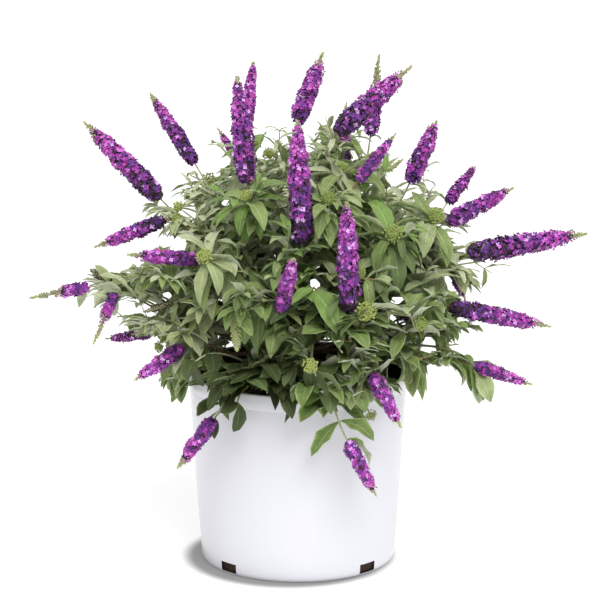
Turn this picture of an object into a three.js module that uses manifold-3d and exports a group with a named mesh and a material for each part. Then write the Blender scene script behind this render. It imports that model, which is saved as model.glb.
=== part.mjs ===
// A butterfly bush in flower, standing in its white nursery pot.
//
// Units are millimetres and degrees, +Z is up, and the front of the pot looks along -Y. The origin is the
// middle of the pot's underside. A short woody trunk stands in the potting soil. From its knuckle, called
// the heart here, slender boughs fan out, and each one carries one mass of foliage: a stem that forks into
// arching shoots, with leaves in crossed pairs, and at the shoots' ends either a flower head or a tuft of
// young leaves round a cluster of buds.
//
// The space round the heart is shared out among the masses as cones, so no mass reaches into another.

import * as THREE from 'three';
import { mergeVertices } from 'three/addons/utils/BufferGeometryUtils.js';
import Module from 'manifold-3d';

const wasm = await Module();
wasm.setup();

// ---------------------------------------------------------------- driving dimensions

const FIT_GAP = 0.3; // air between two pieces that rest on each other

const POT = {
  height: 245,
  rimRadius: 140,
  baseRadius: 122.5,
  wall: 2.4,
  floor: 3,
  baseEdge: 6, // rounding between the underside and the wall
  bandHeight: 20, // the thicker band under the rim
  bandProud: 1.4,
  sides: 40,
};
const SLOT = { count: 4, firstAzimuth: 45, width: 25, height: 12, bottom: 3.5, depth: 40 };
const SOIL = { wallHeight: 220, crownHeight: 226, crownRadius: 45, sides: 20 };

const HEART_HEIGHT = 262; // the knuckle that every bough springs from
const TRUNK = { top: 277, lean: 4, sides: 10 };
// radius of the trunk at each share of its height: root flare, neck, knuckle, blunt top
const TRUNK_PROFILE = [[0, 24], [0.08, 19.5], [0.25, 15.5], [0.45, 14], [0.68, 16.5], [0.88, 14.5], [1, 8]];

const BOUGH = { start: 6, reach: 80, baseRadius: 3.3, tipRadius: 2.4, arch: 5, sides: 5, segments: 2 };
const STEM = { share: 0.64, firstFork: 0.2, radius: 2.6 };
const SHOOT = { baseRadius: 1.9, tipRadius: 1.4, bends: [0.45, 0.6, 0.8, 1, 0.3, 0.15, 0], lowestEnd: -13 };
const NODE = 3.2; // length of the swelling on a twig that a leaf or a shoot grows out of

// half sizes of the leafy crown, and how far its middle lies above the heart
const CROWN = { halfWidth: 244, halfDepth: 238, halfHeight: 192, lift: 88 };
const SPACE_MARGIN = 0.4; // every solid keeps this far inside its own cone
const POT_MARGIN = 0.6; // and foliage this far off the pot

const LEAF = {
  length: 80,
  widthShare: 0.32,
  thicknessShare: 0.03,
  broadest: 0.36, // share of the length where the blade is broadest
  firstPair: 36, // distance along a shoot, or this share of a short one
  firstPairShare: 0.35,
  pairSpacing: 30,
  lastPair: 8, // distance short of the shoot's end
  lastPairSize: 0.85,
  shortest: 0.9, // share of the length that the shortest leaves have
  lengthSpread: 0.2,
  spread: 60, // angle between a leaf and its twig
  tuftSpread: 45,
  droop: 0.2,
};
// a leaf is tried at these shares of its size, turned round its twig, and closed in toward it
const LEAF_TRIES = [1, 0.82, 0.64].flatMap((size) => [
  [size, 0, 1], [size, 30, 1], [size, -30, 1], [size, 0, 0.5], [size, 60, 0.6], [size, -60, 0.6],
]);
const BUD = { length: 22, width: 13, broadest: 0.4 };
const HEAD_TRIES = [1, 0.85, 0.7];
const HEAD = { sides: 6, sunk: 3, clear: -1 };
// radius of a flower head, as a share of its greatest, at each share of its length
const HEAD_PROFILE = [[0, 0], [0.04, 0.68], [0.25, 1], [0.55, 0.86], [0.8, 0.42], [1, 0]];

const CROWN_SEED = 4100; // one stream of numbers per mass for its shoots
const LEAF_SEED = 9200; // and one for its leaves

// Each flower head is [azimuth, elevation, distance] of its foot as seen from the heart, then the
// [azimuth, elevation] it points along, then its length and greatest width.
const SINGLE_MASSES = [
  {
    name: 'top', azimuth: 170, elevation: 79, fillers: 4,
    heads: [[89, 86, 297, 23, 68, 90, 25], [156, 76, 295, 0, 83, 83, 19]],
  },
  {
    name: 'high_right', azimuth: 4, elevation: 67, fillers: 4,
    heads: [
      [0, 58, 266, -18, 67, 82, 24],
      [34, 68, 295, 56, 79, 98, 21],
      [-26, 79, 297, -10, 43, 122, 28],
    ],
  },
  {
    name: 'high_left', azimuth: 178, elevation: 54, fillers: 4,
    heads: [[-173, 50, 273, -164, 47, 134, 27], [167, 61, 277, 160, 55, 101, 21]],
  },
  {
    name: 'right', azimuth: 0, elevation: 35, fillers: 4,
    heads: [
      [9, 45, 272, 37, 43, 57, 17],
      [-6, 43, 260, -18, 30, 93, 22],
      [-13, 33, 262, -10, 12, 146, 28],
    ],
  },
  {
    name: 'left', azimuth: 180, elevation: 16, fillers: 5,
    heads: [[-176, 19, 281, -172, -9, 71, 17]],
  },
];

// These masses stand in pairs: the second of a pair is the first turned half round the trunk, then varied.
const PAIRED_MASSES = [
  {
    name: 'front_high', turned: 'back_high', azimuth: -94, elevation: 64, fillers: 3,
    heads: [
      [-128, 67, 263, -115, 80, 132, 27],
      [-53, 63, 278, -35, 50, 78, 16],
      [-88, 52, 228, -102, 80, 153, 28],
    ],
  },
  {
    name: 'front', turned: 'back', azimuth: -82, elevation: 29, fillers: 5,
    heads: [[-73, 28, 236, -96, 75, 140, 26], [-96, 30, 215, -77, 48, 100, 20]],
  },
  {
    name: 'front_right', turned: 'back_left', azimuth: -30, elevation: 12, fillers: 5,
    heads: [[-20, 21, 219, -14, -8, 123, 24], [-22, 2, 240, -25, -12, 72, 17]],
  },
  {
    name: 'front_left_high', turned: 'back_right_high', azimuth: -145, elevation: 39, fillers: 4,
    heads: [[-157, 46, 261, -163, -18, 90, 20], [-136, 41, 230, -150, 10, 93, 19]],
  },
  {
    name: 'front_left', turned: 'back_right', azimuth: -152, elevation: 8, fillers: 4,
    heads: [[-157, 22, 264, -129, -54, 65, 15], [-143, 11, 184, -144, -23, 73, 20]],
  },
  {
    name: 'front_low_right', turned: 'back_low_left', azimuth: -66, elevation: -3, fillers: 6,
    heads: [[-71, -19, 201, -47, -49, 73, 19], [-60, 4, 185, -55, -42, 74, 20]],
  },
  {
    name: 'front_low_left', turned: 'back_low_right', azimuth: -113, elevation: -4, fillers: 6,
    heads: [[-125, -14, 189, -132, -37, 75, 20]],
  },
];
const LOW_BOUGH_ELEVATION = 5; // boughs of the low masses still clear the pot's rim
const HALF_TURN = 180;
// how the flower heads of a turned mass differ from their models
const VARIED = { leastSize: 0.7, sizeSpread: 0.2, turnSpread: 8, leastReach: 0.86, reachSpread: 0.06 };
// leafy shoots without a flower head: how far they lean from the axis, reach and nod
const FILLER = {
  widestTilt: 19,
  outerReach: 0.84,
  innerReach: 0.62,
  reachSpread: 0.14,
  nod: 25,
  closing: [1, 0.75, 0.5, 0.25],
};
const GOLDEN_ANGLE = 137.5;

// ---------------------------------------------------------------- numbers, vectors and solids

const radians = THREE.MathUtils.degToRad;
const UP = new THREE.Vector3(0, 0, 1);
const ASIDE = new THREE.Vector3(0.6, 0.8, 0); // the side that a straight twig takes for its bend
const STRAIGHT = 0.02; // a twig whose direction turns by less than this has no bend of its own
const STEEP = 0.9; // a body that rises more steeply than this is set out from +X

// A small repeatable stream of numbers from 0 to 1.
function seeded(seed) {
  let state = seed >>> 0;
  return () => {
    state = (state + 0x6d2b79f5) >>> 0;
    let mixed = Math.imul(state ^ (state >>> 15), state | 1);
    mixed ^= mixed + Math.imul(mixed ^ (mixed >>> 7), mixed | 61);
    return ((mixed ^ (mixed >>> 14)) >>> 0) / 4294967296;
  };
}

function direction(azimuth, elevation) {
  const level = Math.cos(radians(elevation));
  const z = Math.sin(radians(elevation));
  return new THREE.Vector3(level * Math.cos(radians(azimuth)), level * Math.sin(radians(azimuth)), z);
}

function ahead(point, heading, distance) {
  return point.clone().addScaledVector(heading, distance);
}

// A closed geometry as a solid for joining and cutting.
function toSolid(geometry) {
  const bare = new THREE.BufferGeometry();
  bare.setAttribute('position', geometry.attributes.position);
  bare.setIndex(geometry.index);
  const merged = mergeVertices(bare);
  const corners = merged.index.array;
  const triangles = [];
  for (let i = 0; i < corners.length; i += 3) {
    const [a, b, c] = [corners[i], corners[i + 1], corners[i + 2]];
    if (a !== b && b !== c && c !== a) triangles.push(a, b, c);
  }
  return new wasm.Manifold(new wasm.Mesh({
    numProp: 3,
    vertProperties: merged.attributes.position.array,
    triVerts: new Uint32Array(triangles),
  }));
}

// The outer body of a solid: loose scraps are dropped and sealed hollows are filled.
function outerBody(solid) {
  const bodies = solid.decompose();
  return bodies.reduce((largest, body) => (body.volume() > largest.volume() ? body : largest));
}

function toMesh(name, solid, material) {
  const { vertProperties, triVerts } = outerBody(solid).getMesh();
  const geometry = new THREE.BufferGeometry();
  geometry.setAttribute('position', new THREE.BufferAttribute(vertProperties, 3));
  geometry.setIndex(new THREE.BufferAttribute(triVerts, 1));
  geometry.computeVertexNormals();
  const mesh = new THREE.Mesh(geometry, material);
  mesh.name = name;
  return mesh;
}

// A round body carried along a curve. The profile is a list of [share of the length, radius].
function carried(profile, curve, sides) {
  const outline = profile.map(([share, radius]) => new THREE.Vector2(radius, share));
  if (outline[0].x > 0) outline.unshift(new THREE.Vector2(0, 0));
  if (outline[outline.length - 1].x > 0) outline.push(new THREE.Vector2(0, 1));
  const geometry = new THREE.LatheGeometry(outline, sides);
  const position = geometry.attributes.position;
  const start = curve.getTangent(0);
  const level = Math.abs(start.z) > STEEP ? new THREE.Vector3(1, 0, 0) : UP;
  const reference = new THREE.Vector3().crossVectors(start, level);
  for (let i = 0; i < position.count; i += 1) {
    const share = position.getY(i);
    const along = curve.getTangent(share);
    const across = ahead(reference, along, -reference.dot(along)).normalize();
    const third = new THREE.Vector3().crossVectors(across, along);
    const point = ahead(ahead(curve.getPoint(share), across, position.getX(i)), third, position.getZ(i));
    position.setXYZ(i, point.x, point.y, point.z);
  }
  return geometry;
}

function taper(baseRadius, tipRadius, segments) {
  const profile = [];
  for (let i = 0; i <= segments; i += 1) {
    profile.push([i / segments, THREE.MathUtils.lerp(baseRadius, tipRadius, i / segments)]);
  }
  return profile;
}

// ---------------------------------------------------------------- pot, soil and trunk

function potWallRadius(height) {
  const topRadius = POT.rimRadius - POT.bandProud;
  return THREE.MathUtils.lerp(POT.baseRadius, topRadius, height / POT.height);
}

function potSolid() {
  const bandBottom = POT.height - POT.bandHeight;
  const lip = (POT.wall + POT.bandProud) / 2; // half the thickness of the rounded rim
  const edge = POT.baseEdge;
  const outline = [[0, 0], [POT.baseRadius - edge, 0]];
  outline.push([potWallRadius(edge / 4) - edge / 4, edge / 4]);
  outline.push([potWallRadius(edge), edge]);
  outline.push([potWallRadius(bandBottom), bandBottom]);
  outline.push([potWallRadius(bandBottom) + POT.bandProud, bandBottom + POT.bandProud / 2]);
  outline.push([POT.rimRadius, POT.height - lip]);
  outline.push([POT.rimRadius - lip / 2, POT.height]);
  outline.push([POT.rimRadius - (3 * lip) / 2, POT.height]);
  outline.push([potWallRadius(POT.height) - POT.wall, POT.height - lip]);
  outline.push([potWallRadius(POT.floor) - POT.wall, POT.floor]);
  outline.push([0, POT.floor]);
  const points = outline.map(([radius, height]) => new THREE.Vector2(radius, height));
  const shell = new THREE.LatheGeometry(points, POT.sides);
  shell.rotateX(Math.PI / 2);
  let solid = toSolid(shell);
  for (let i = 0; i < SLOT.count; i += 1) {
    const azimuth = radians(SLOT.firstAzimuth + (360 / SLOT.count) * i);
    const slot = new THREE.BoxGeometry(SLOT.depth, SLOT.width, SLOT.height);
    slot.translate(POT.baseRadius, 0, SLOT.bottom + SLOT.height / 2);
    slot.rotateZ(azimuth);
    solid = solid.subtract(toSolid(slot));
  }
  return solid;
}

function soilSolid() {
  const foot = POT.floor + FIT_GAP;
  const inset = POT.wall + 2 * FIT_GAP;
  const outline = [
    [0, foot],
    [potWallRadius(foot) - inset, foot],
    [potWallRadius(SOIL.wallHeight) - inset, SOIL.wallHeight],
    [SOIL.crownRadius, SOIL.crownHeight],
    [0, SOIL.crownHeight],
  ];
  const points = outline.map(([radius, height]) => new THREE.Vector2(radius, height));
  const heap = new THREE.LatheGeometry(points, SOIL.sides);
  heap.rotateX(Math.PI / 2);
  return toSolid(heap);
}

// The trunk in the heart's own frame, made larger all over by `grown`.
function trunkSolid(grown) {
  const foot = SOIL.crownHeight + FIT_GAP - HEART_HEIGHT - grown;
  const top = TRUNK.top - HEART_HEIGHT + grown;
  const curve = new THREE.QuadraticBezierCurve3(
    new THREE.Vector3(TRUNK.lean, -TRUNK.lean / 2, foot),
    new THREE.Vector3(TRUNK.lean, -TRUNK.lean / 2, (foot + top) / 2),
    new THREE.Vector3(0, 0, top),
  );
  const profile = TRUNK_PROFILE.map(([share, radius]) => [share, radius + grown]);
  return toSolid(carried(profile, curve, TRUNK.sides));
}

// Everything from the ground up to the pot's rim, kept free of foliage, in the heart's own frame.
function potSpace() {
  const radius = POT.rimRadius + POT_MARGIN;
  const height = POT.height + POT_MARGIN;
  const drum = new THREE.CylinderGeometry(radius, POT.baseRadius + POT_MARGIN, height, POT.sides);
  drum.rotateX(Math.PI / 2);
  drum.translate(0, 0, height / 2 - HEART_HEIGHT);
  return toSolid(drum);
}

// ---------------------------------------------------------------- the crown

// The masses of the whole crown, each with its axis and the planes that part it from the others.
function crownMasses() {
  const turned = PAIRED_MASSES.map((mass, index) => {
    const random = seeded(CROWN_SEED - 1 - index);
    const heads = mass.heads.map(([azimuth, elevation, distance, heading, pitch, length, width]) => {
      const size = VARIED.leastSize + VARIED.sizeSpread * random();
      const turn = HALF_TURN + VARIED.turnSpread * (random() - 0.5);
      const reach = distance * (VARIED.leastReach + VARIED.reachSpread * random());
      return [azimuth + HALF_TURN, elevation, reach, heading + turn, pitch, length * size, width * size];
    });
    return { ...mass, name: mass.turned, azimuth: mass.azimuth + HALF_TURN, heads };
  });
  const masses = [...SINGLE_MASSES, ...PAIRED_MASSES, ...turned];
  const axes = masses.map((mass) => direction(mass.azimuth, mass.elevation));
  return masses.map((mass, index) => {
    const others = axes.filter((axis, other) => other !== index);
    const planes = others.map((axis) => axes[index].clone().sub(axis).normalize());
    return { ...mass, index, axis: axes[index], planes };
  });
}

function insideSpace(mass, point, margin) {
  return mass.planes.every((plane) => plane.dot(point) >= margin);
}

// How far the crown reaches from the heart along a direction: where that line leaves an ellipsoid.
function crownReach(heading) {
  const halves = [CROWN.halfWidth, CROWN.halfDepth, CROWN.halfHeight];
  const line = heading.toArray().map((value, i) => value / halves[i]);
  const lift = CROWN.lift / CROWN.halfHeight;
  const a = line[0] ** 2 + line[1] ** 2 + line[2] ** 2;
  const b = -2 * line[2] * lift;
  return (-b + Math.sqrt(b * b - 4 * a * (lift * lift - 1))) / (2 * a);
}

// A bough leaves the heart a little steeper than its mass's axis and bends out to it.
function boughCurve(mass) {
  const elevation = Math.max(mass.elevation, LOW_BOUGH_ELEVATION);
  const end = direction(mass.azimuth, elevation);
  const steeper = direction(mass.azimuth, elevation + BOUGH.arch);
  return new THREE.QuadraticBezierCurve3(
    steeper.clone().multiplyScalar(BOUGH.start),
    steeper.clone().multiplyScalar(BOUGH.reach / 2),
    end.clone().multiplyScalar(BOUGH.reach),
  );
}

function boughSolid(mass, grown) {
  const profile = taper(BOUGH.baseRadius + grown, BOUGH.tipRadius + grown, BOUGH.segments);
  return toSolid(carried(profile, boughCurve(mass), BOUGH.sides));
}

// The stem goes on from the bough's tip to where the shoots fork.
function stemCurve(mass) {
  const bough = boughCurve(mass);
  const along = bough.getTangent(1);
  const start = ahead(bough.getPoint(1), along, FIT_GAP);
  const toward = direction(mass.azimuth, Math.max(mass.elevation, LOW_BOUGH_ELEVATION));
  const end = toward.clone().multiplyScalar(crownReach(toward) * STEM.share);
  const middle = ahead(start, along, start.distanceTo(end) / 2);
  return new THREE.QuadraticBezierCurve3(start, middle, end);
}

// Where each shoot of a mass may end: first those that carry a flower head, then the leafy ones between,
// which are spread about the axis by the golden angle. A leafy shoot has a choice of ends, each one nearer
// to the axis than the last.
function shootEnds(mass) {
  const random = seeded(CROWN_SEED + mass.index);
  const ends = mass.heads.map(([azimuth, elevation, distance, heading, pitch, length, width]) => [{
    foot: direction(azimuth, elevation).multiplyScalar(distance),
    heading: direction(heading, pitch),
    head: { length, width },
  }]);
  const spin = 360 * random();
  for (let i = 0; i < mass.fillers; i += 1) {
    const tilt = FILLER.widestTilt * Math.sqrt((i + 0.6) / mass.fillers);
    const around = radians(spin + GOLDEN_ANGLE * i);
    const share = (i % 2 === 1 ? FILLER.innerReach : FILLER.outerReach) + FILLER.reachSpread * random();
    const nod = FILLER.nod * random();
    ends.push(FILLER.closing.map((closing) => {
      const raised = mass.elevation + closing * tilt * Math.sin(around);
      const elevation = Math.max(raised, SHOOT.lowestEnd);
      const sideways = (closing * tilt * Math.cos(around)) / Math.cos(radians(mass.elevation));
      const azimuth = mass.azimuth + sideways;
      const toward = direction(azimuth, elevation);
      const foot = toward.clone().multiplyScalar(crownReach(toward) * share);
      return { foot, heading: direction(azimuth, elevation - nod), head: null };
    }));
  }
  return ends;
}

// A shoot leaves its root and arrives at its end along the end's own heading.
function shootCurve(start, end, bend) {
  const distance = start.distanceTo(end.foot);
  return new THREE.QuadraticBezierCurve3(start, ahead(end.foot, end.heading, -distance * bend), end.foot);
}

// A closed three-sided body through a list of rings of three points, each ring turning the same way round
// as seen from the last one. A last ring of three equal points makes a pointed end.
function threeSided(rings) {
  const tube = new THREE.CylinderGeometry(1, 1, 1, 3, rings.length - 1, true);
  const position = tube.attributes.position;
  const row = tube.attributes.position.count / rings.length;
  rings.forEach((ring, index) => {
    const first = (rings.length - 1 - index) * row;
    for (let i = 0; i < row; i += 1) position.setXYZ(first + i, ...ring[i % 3].toArray());
  });
  const base = (rings.length - 1) * row;
  tube.setIndex([...tube.index.array, 0, 1, 2, base, base + 2, base + 1]);
  return tube;
}

// The rings of a twig at the given shares of its curve, each with its own radius.
function twigRings(curve, places, phase) {
  const bendAxis = new THREE.Vector3().crossVectors(curve.getTangent(0), curve.getTangent(1));
  if (bendAxis.length() < STRAIGHT) bendAxis.crossVectors(curve.getTangent(0), ASIDE);
  bendAxis.normalize();
  return places.map(([share, radius]) => {
    const along = curve.getTangent(share);
    const third = new THREE.Vector3().crossVectors(along, bendAxis);
    return [0, 1, 2].map((corner) => {
      const angle = phase + radians(120 * corner);
      const point = ahead(curve.getPoint(share), bendAxis, radius * Math.cos(angle));
      return ahead(point, third, radius * Math.sin(angle));
    });
  });
}

// One of the three facets between two neighbouring rings: the one that looks most nearly along `outward`.
function facetToward(lower, upper, outward, taken) {
  const facets = [0, 1, 2].map((side) => [lower[side], lower[(side + 1) % 3], upper[(side + 1) % 3]]);
  const free = facets.filter((facet, side) => !taken.has(side));
  const facing = (facet) => new THREE.Triangle(...facet).getNormal(new THREE.Vector3()).dot(outward);
  const best = free.reduce((first, second) => (facing(second) > facing(first) ? second : first));
  return { root: best, side: facets.indexOf(best) };
}

// The ring with its three points renamed so that each lies nearest to its partner in the root.
function matched(root, ring) {
  const turns = [0, 1, 2].map((shift) => [0, 1, 2].map((corner) => ring[(corner + shift) % 3]));
  const strain = (turn) => turn.reduce((sum, point, corner) => sum + point.distanceTo(root[corner]), 0);
  return turns.reduce((best, turn) => (strain(turn) < strain(best) ? turn : best));
}

function centre(facet) {
  return facet[0].clone().add(facet[1]).add(facet[2]).divideScalar(3);
}

// A leaf grows out of a facet of its twig: a stalk that widens to a keeled blade, then a drooping tip.
function leafGeometry(root, along, across, length) {
  const start = centre(root);
  const keel = new THREE.Vector3().crossVectors(along, across);
  const middle = ahead(start, along, length * LEAF.broadest);
  const halfWidth = (length * LEAF.widthShare) / 2;
  const ring = [
    ahead(middle, across, halfWidth),
    ahead(middle, keel, length * LEAF.thicknessShare),
    ahead(middle, across, -halfWidth),
  ];
  const tip = ahead(ahead(start, along, length), UP, -length * LEAF.droop);
  return threeSided([root, matched(root, ring), [tip, tip, tip]]);
}

// A flower head carried on from the shoot's end, starting `sunk` below it.
function headGeometry(end, arrival, size, sunk) {
  const { length, width } = end.head;
  const start = ahead(end.foot, arrival, -sunk);
  const tip = ahead(end.foot, end.heading, length * size);
  const middle = ahead(start, arrival, (length * size) / 2);
  middle.lerp(start.clone().add(tip).divideScalar(2), 0.5);
  const curve = new THREE.QuadraticBezierCurve3(start, middle, tip);
  const profile = HEAD_PROFILE.map(([share, radius]) => [share, (radius * width * size) / 2]);
  return carried(profile, curve, HEAD.sides);
}

// Where the leaf pairs of a shoot stand, as shares of its length.
function pairShares(length) {
  const first = Math.min(LEAF.firstPair, length * LEAF.firstPairShare);
  const room = length - LEAF.lastPair - first;
  const pairs = Math.max(2, 1 + Math.round(room / LEAF.pairSpacing));
  return Array.from({ length: pairs }, (_, pair) => (first + (room * pair) / (pairs - 1)) / length);
}

// A shoot as a body grown out of a facet of the stem, with a short node at each pair of leaves, and a
// pointed bud where it carries no flower head.
function shootBody(root, end, bend, phase) {
  const curve = shootCurve(centre(root), end, bend);
  const length = curve.getLength();
  const shares = pairShares(length);
  const radiusAt = (share) => THREE.MathUtils.lerp(SHOOT.baseRadius, SHOOT.tipRadius, share);
  const node = NODE / length;
  const places = shares.flatMap((share) => [[share, radiusAt(share)], [share + node, radiusAt(share)]]);
  const rings = twigRings(curve, [...places, [1, SHOOT.tipRadius]], phase);
  const along = curve.getTangent(1);
  if (!end.head) {
    const budCurve = new THREE.LineCurve3(end.foot, ahead(end.foot, along, BUD.length));
    rings.push(...twigRings(budCurve, [[BUD.broadest, BUD.width / 2], [1, 0]], phase));
  }
  let previous = root;
  const body = rings.map((ring) => {
    previous = matched(previous, ring);
    return previous;
  });
  return { end, curve, shares, rings: body, geometry: threeSided([root, ...body]) };
}

// One mass of foliage: the twigs come first, then the flower heads, then the leaves. What would leave the
// mass's space, or meet the pot, the bough or what has already grown, is tried again bent, smaller or
// turned, and is left out if it still doesn't fit.
function foliageSolid(mass, keepOut) {
  const random = seeded(LEAF_SEED + mass.index);
  let solid = null;
  const inside = (geometry) => {
    const position = geometry.attributes.position;
    const point = new THREE.Vector3();
    for (let i = 0; i < position.count; i += 1) {
      if (!insideSpace(mass, point.fromBufferAttribute(position, i), SPACE_MARGIN)) return false;
    }
    return true;
  };
  const clearOf = (piece, others) => others.every((other) => piece.intersect(other).isEmpty());
  // Joins the first of the choices that fits and returns it. Without a probe, the piece grows out of one
  // facet and must share just that with what has grown. A probe is a shorter form of a piece that is
  // sunk into its twig, and the probe has to stay clear.
  const grow = (choices) => choices.find(({ geometry, probe }) => {
    if (!inside(geometry)) return false;
    const piece = toSolid(geometry);
    if (!clearOf(piece, keepOut) || !clearOf(probe ? toSolid(probe) : piece, [solid])) return false;
    const joined = solid.add(piece);
    const sharesOneFacet = joined.numTri() === solid.numTri() + piece.numTri() - 2;
    if (probe || sharesOneFacet) solid = joined;
    return probe || sharesOneFacet;
  });

  const ends = shootEnds(mass);
  const stem = stemCurve(mass);
  const stemNode = NODE / stem.getLength();
  const forks = ends.map((end, index) => STEM.firstFork + ((1 - STEM.firstFork) * index) / ends.length);
  const stemPlaces = forks.flatMap((share) => [[share, STEM.radius], [share + stemNode, STEM.radius]]);
  const stemRings = twigRings(stem, [[0, STEM.radius], ...stemPlaces, [1, STEM.radius / 2]], 0);
  solid = toSolid(threeSided(stemRings));

  const shoots = [];
  ends.forEach((choices, index) => {
    const lower = stemRings[1 + 2 * index];
    const upper = stemRings[2 + 2 * index];
    const toward = choices[0].foot.clone().sub(centre(lower)).normalize();
    const { root } = facetToward(lower, upper, toward, new Set());
    const phase = radians(120 * random());
    const turn = 90 * random();
    const bodies = choices.flatMap((end) => SHOOT.bends.map((bend) => shootBody(root, end, bend, phase)));
    const body = grow(bodies);
    if (body) shoots.push({ ...body, turn });
  });

  const flowering = shoots.filter((shoot) => shoot.end.head);
  for (const { end, curve } of flowering) {
    const arrival = curve.getTangent(1);
    grow(HEAD_TRIES.map((size) => ({
      geometry: headGeometry(end, arrival, size, HEAD.sunk),
      probe: headGeometry(end, arrival, size, HEAD.clear),
    })));
  }

  for (const { curve, shares, rings, end, turn } of shoots) {
    shares.forEach((share, pair) => {
      const along = curve.getTangent(share);
      const level = new THREE.Vector3().crossVectors(UP, along).normalize();
      const lastPair = pair === shares.length - 1;
      const spread = lastPair && !end.head ? LEAF.tuftSpread : LEAF.spread;
      const taken = new Set();
      for (const half of [0, HALF_TURN]) {
        const grownTo = (lastPair ? LEAF.lastPairSize : 1) * (LEAF.shortest + LEAF.lengthSpread * random());
        const length = LEAF.length * grownTo;
        const leaf = grow(LEAF_TRIES.map(([size, nudge, closing]) => {
          const side = level.clone().applyAxisAngle(along, radians(turn + 90 * pair + half + nudge));
          const outward = side.clone().multiplyScalar(Math.sin(radians(spread * closing)));
          outward.addScaledVector(along, Math.cos(radians(spread * closing)));
          const across = new THREE.Vector3().crossVectors(along, side);
          const facet = facetToward(rings[2 * pair], rings[2 * pair + 1], side, taken);
          return { facet, geometry: leafGeometry(facet.root, outward, across, length * size) };
        }));
        if (leaf) taken.add(leaf.facet.side);
      }
    });
  }
  return solid;
}

// ---------------------------------------------------------------- the assembly

function finish(colour, roughness) {
  return new THREE.MeshStandardMaterial({ color: colour, roughness, metalness: 0 });
}

const butterflyBush = new THREE.Group();
butterflyBush.add(toMesh('pot', potSolid(), finish(0xf3f3f1, 0.3)));
butterflyBush.add(toMesh('potting_soil', soilSolid(), finish(0x3b2a1e, 0.95)));

const plant = new THREE.Group(); // everything that grows from the heart
plant.position.set(0, 0, HEART_HEIGHT);
plant.add(toMesh('trunk', trunkSolid(0), finish(0x6b5138, 0.85)));
const trunkSpace = trunkSolid(FIT_GAP);
const rimSpace = potSpace();
for (const mass of crownMasses()) {
  const bough = boughSolid(mass, 0).subtract(trunkSpace);
  plant.add(toMesh(`bough_${mass.name}`, bough, finish(0x7d5b3c, 0.85)));
  const keepOut = [rimSpace, boughSolid(mass, FIT_GAP)];
  plant.add(toMesh(`foliage_${mass.name}`, foliageSolid(mass, keepOut), finish(0x5f7045, 0.7)));
}
butterflyBush.add(plant);

export default butterflyBush;
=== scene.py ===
# %% [markdown]
# # A butterfly bush in its white nursery pot
#
# The imported solids already say where everything is: a pot, its potting mix, a short trunk, nineteen boughs
# and the mass of foliage on each bough. This lesson keeps those places and sizes, and makes what the eye
# sees: glossy plastic, crumbly bark mix, twigs, more than four thousand leaves, and flower spikes of up to
# several hundred florets each. The first cell loads the solids.

# %% Load the frame
import math

import bpy
import numpy as np
from mathutils import Euler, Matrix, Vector


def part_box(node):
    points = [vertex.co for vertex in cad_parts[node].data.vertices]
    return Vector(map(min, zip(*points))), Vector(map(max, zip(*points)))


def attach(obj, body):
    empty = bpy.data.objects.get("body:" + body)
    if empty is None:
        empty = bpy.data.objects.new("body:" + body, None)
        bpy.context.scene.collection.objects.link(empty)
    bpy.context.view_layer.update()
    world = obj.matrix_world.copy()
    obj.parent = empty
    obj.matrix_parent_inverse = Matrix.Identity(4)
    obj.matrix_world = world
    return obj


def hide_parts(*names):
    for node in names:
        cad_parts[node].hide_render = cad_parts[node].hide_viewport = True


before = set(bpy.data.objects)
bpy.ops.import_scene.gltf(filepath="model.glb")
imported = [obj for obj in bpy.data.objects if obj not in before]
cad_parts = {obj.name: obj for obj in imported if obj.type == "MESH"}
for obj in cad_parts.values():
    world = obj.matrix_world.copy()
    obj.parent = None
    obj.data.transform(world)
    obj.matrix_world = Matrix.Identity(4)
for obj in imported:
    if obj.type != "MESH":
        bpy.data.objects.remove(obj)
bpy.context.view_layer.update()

# %% [markdown]
# ## The camera
#
# A catalogue picture of a plant is taken from a few metres away with a long lens, so that nothing is drawn
# large or small by being near or far. The lens follows from the distance and from the width that the picture
# takes in at the middle of the pot.

# %% Camera
VIEW_ELEVATION = math.radians(13.6)
VIEW_DISTANCE = 4.0
VIEW_WIDTH = 0.753
SENSOR_WIDTH = 36
AIM = Vector((0.0025, 0.0, 0.333))

camera_data = bpy.data.cameras.new("camera")
camera_data.sensor_width = SENSOR_WIDTH
camera_data.lens = SENSOR_WIDTH * VIEW_DISTANCE / VIEW_WIDTH
camera = bpy.data.objects.new("camera", camera_data)
camera.location = AIM + VIEW_DISTANCE * Vector((0, -math.cos(VIEW_ELEVATION), math.sin(VIEW_ELEVATION)))
camera.rotation_euler = Euler((math.pi / 2 - VIEW_ELEVATION, 0, 0))
bpy.context.scene.collection.objects.link(camera)
bpy.context.scene.camera = camera
print("lens", round(camera_data.lens), "mm at", VIEW_DISTANCE, "m")

# %% [markdown]
# ## Studio light
#
# The plant stands in a white studio. Light comes from a wide ceiling, so the world is bright overhead and
# dim at the horizon: that keeps the floor white and lets the sides of the pot turn grey. A broad soft light
# from the front, a little to the right, models the leaves and the pot. What the camera sees of the world is
# plain white. All shading below is wired with one helper, which makes a node and fills its inputs.

# %% Node helper


def add_node(tree, kind, inputs=(), **settings):
    """A new shader node with these settings.

    Inputs are a list in the node's own order, or a table by name. A socket is linked, a plain value is set.
    """
    node = tree.nodes.new("ShaderNode" + kind)
    for name, value in settings.items():
        setattr(node, name, value)
    for label, value in inputs.items() if isinstance(inputs, dict) else enumerate(inputs):
        if isinstance(value, bpy.types.NodeSocket):
            tree.links.new(value, node.inputs[label])
        else:
            node.inputs[label].default_value = value
    return node


print("node helper ready")

# %% Light
WHITE = (1.0, 1.0, 1.0, 1.0)
SKY_HORIZON = 0.28
SKY_RISE = 0.92
KEY_LIGHT = {"azimuth": -77, "elevation": 50, "strength": 2.2, "softness": 34}


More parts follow.
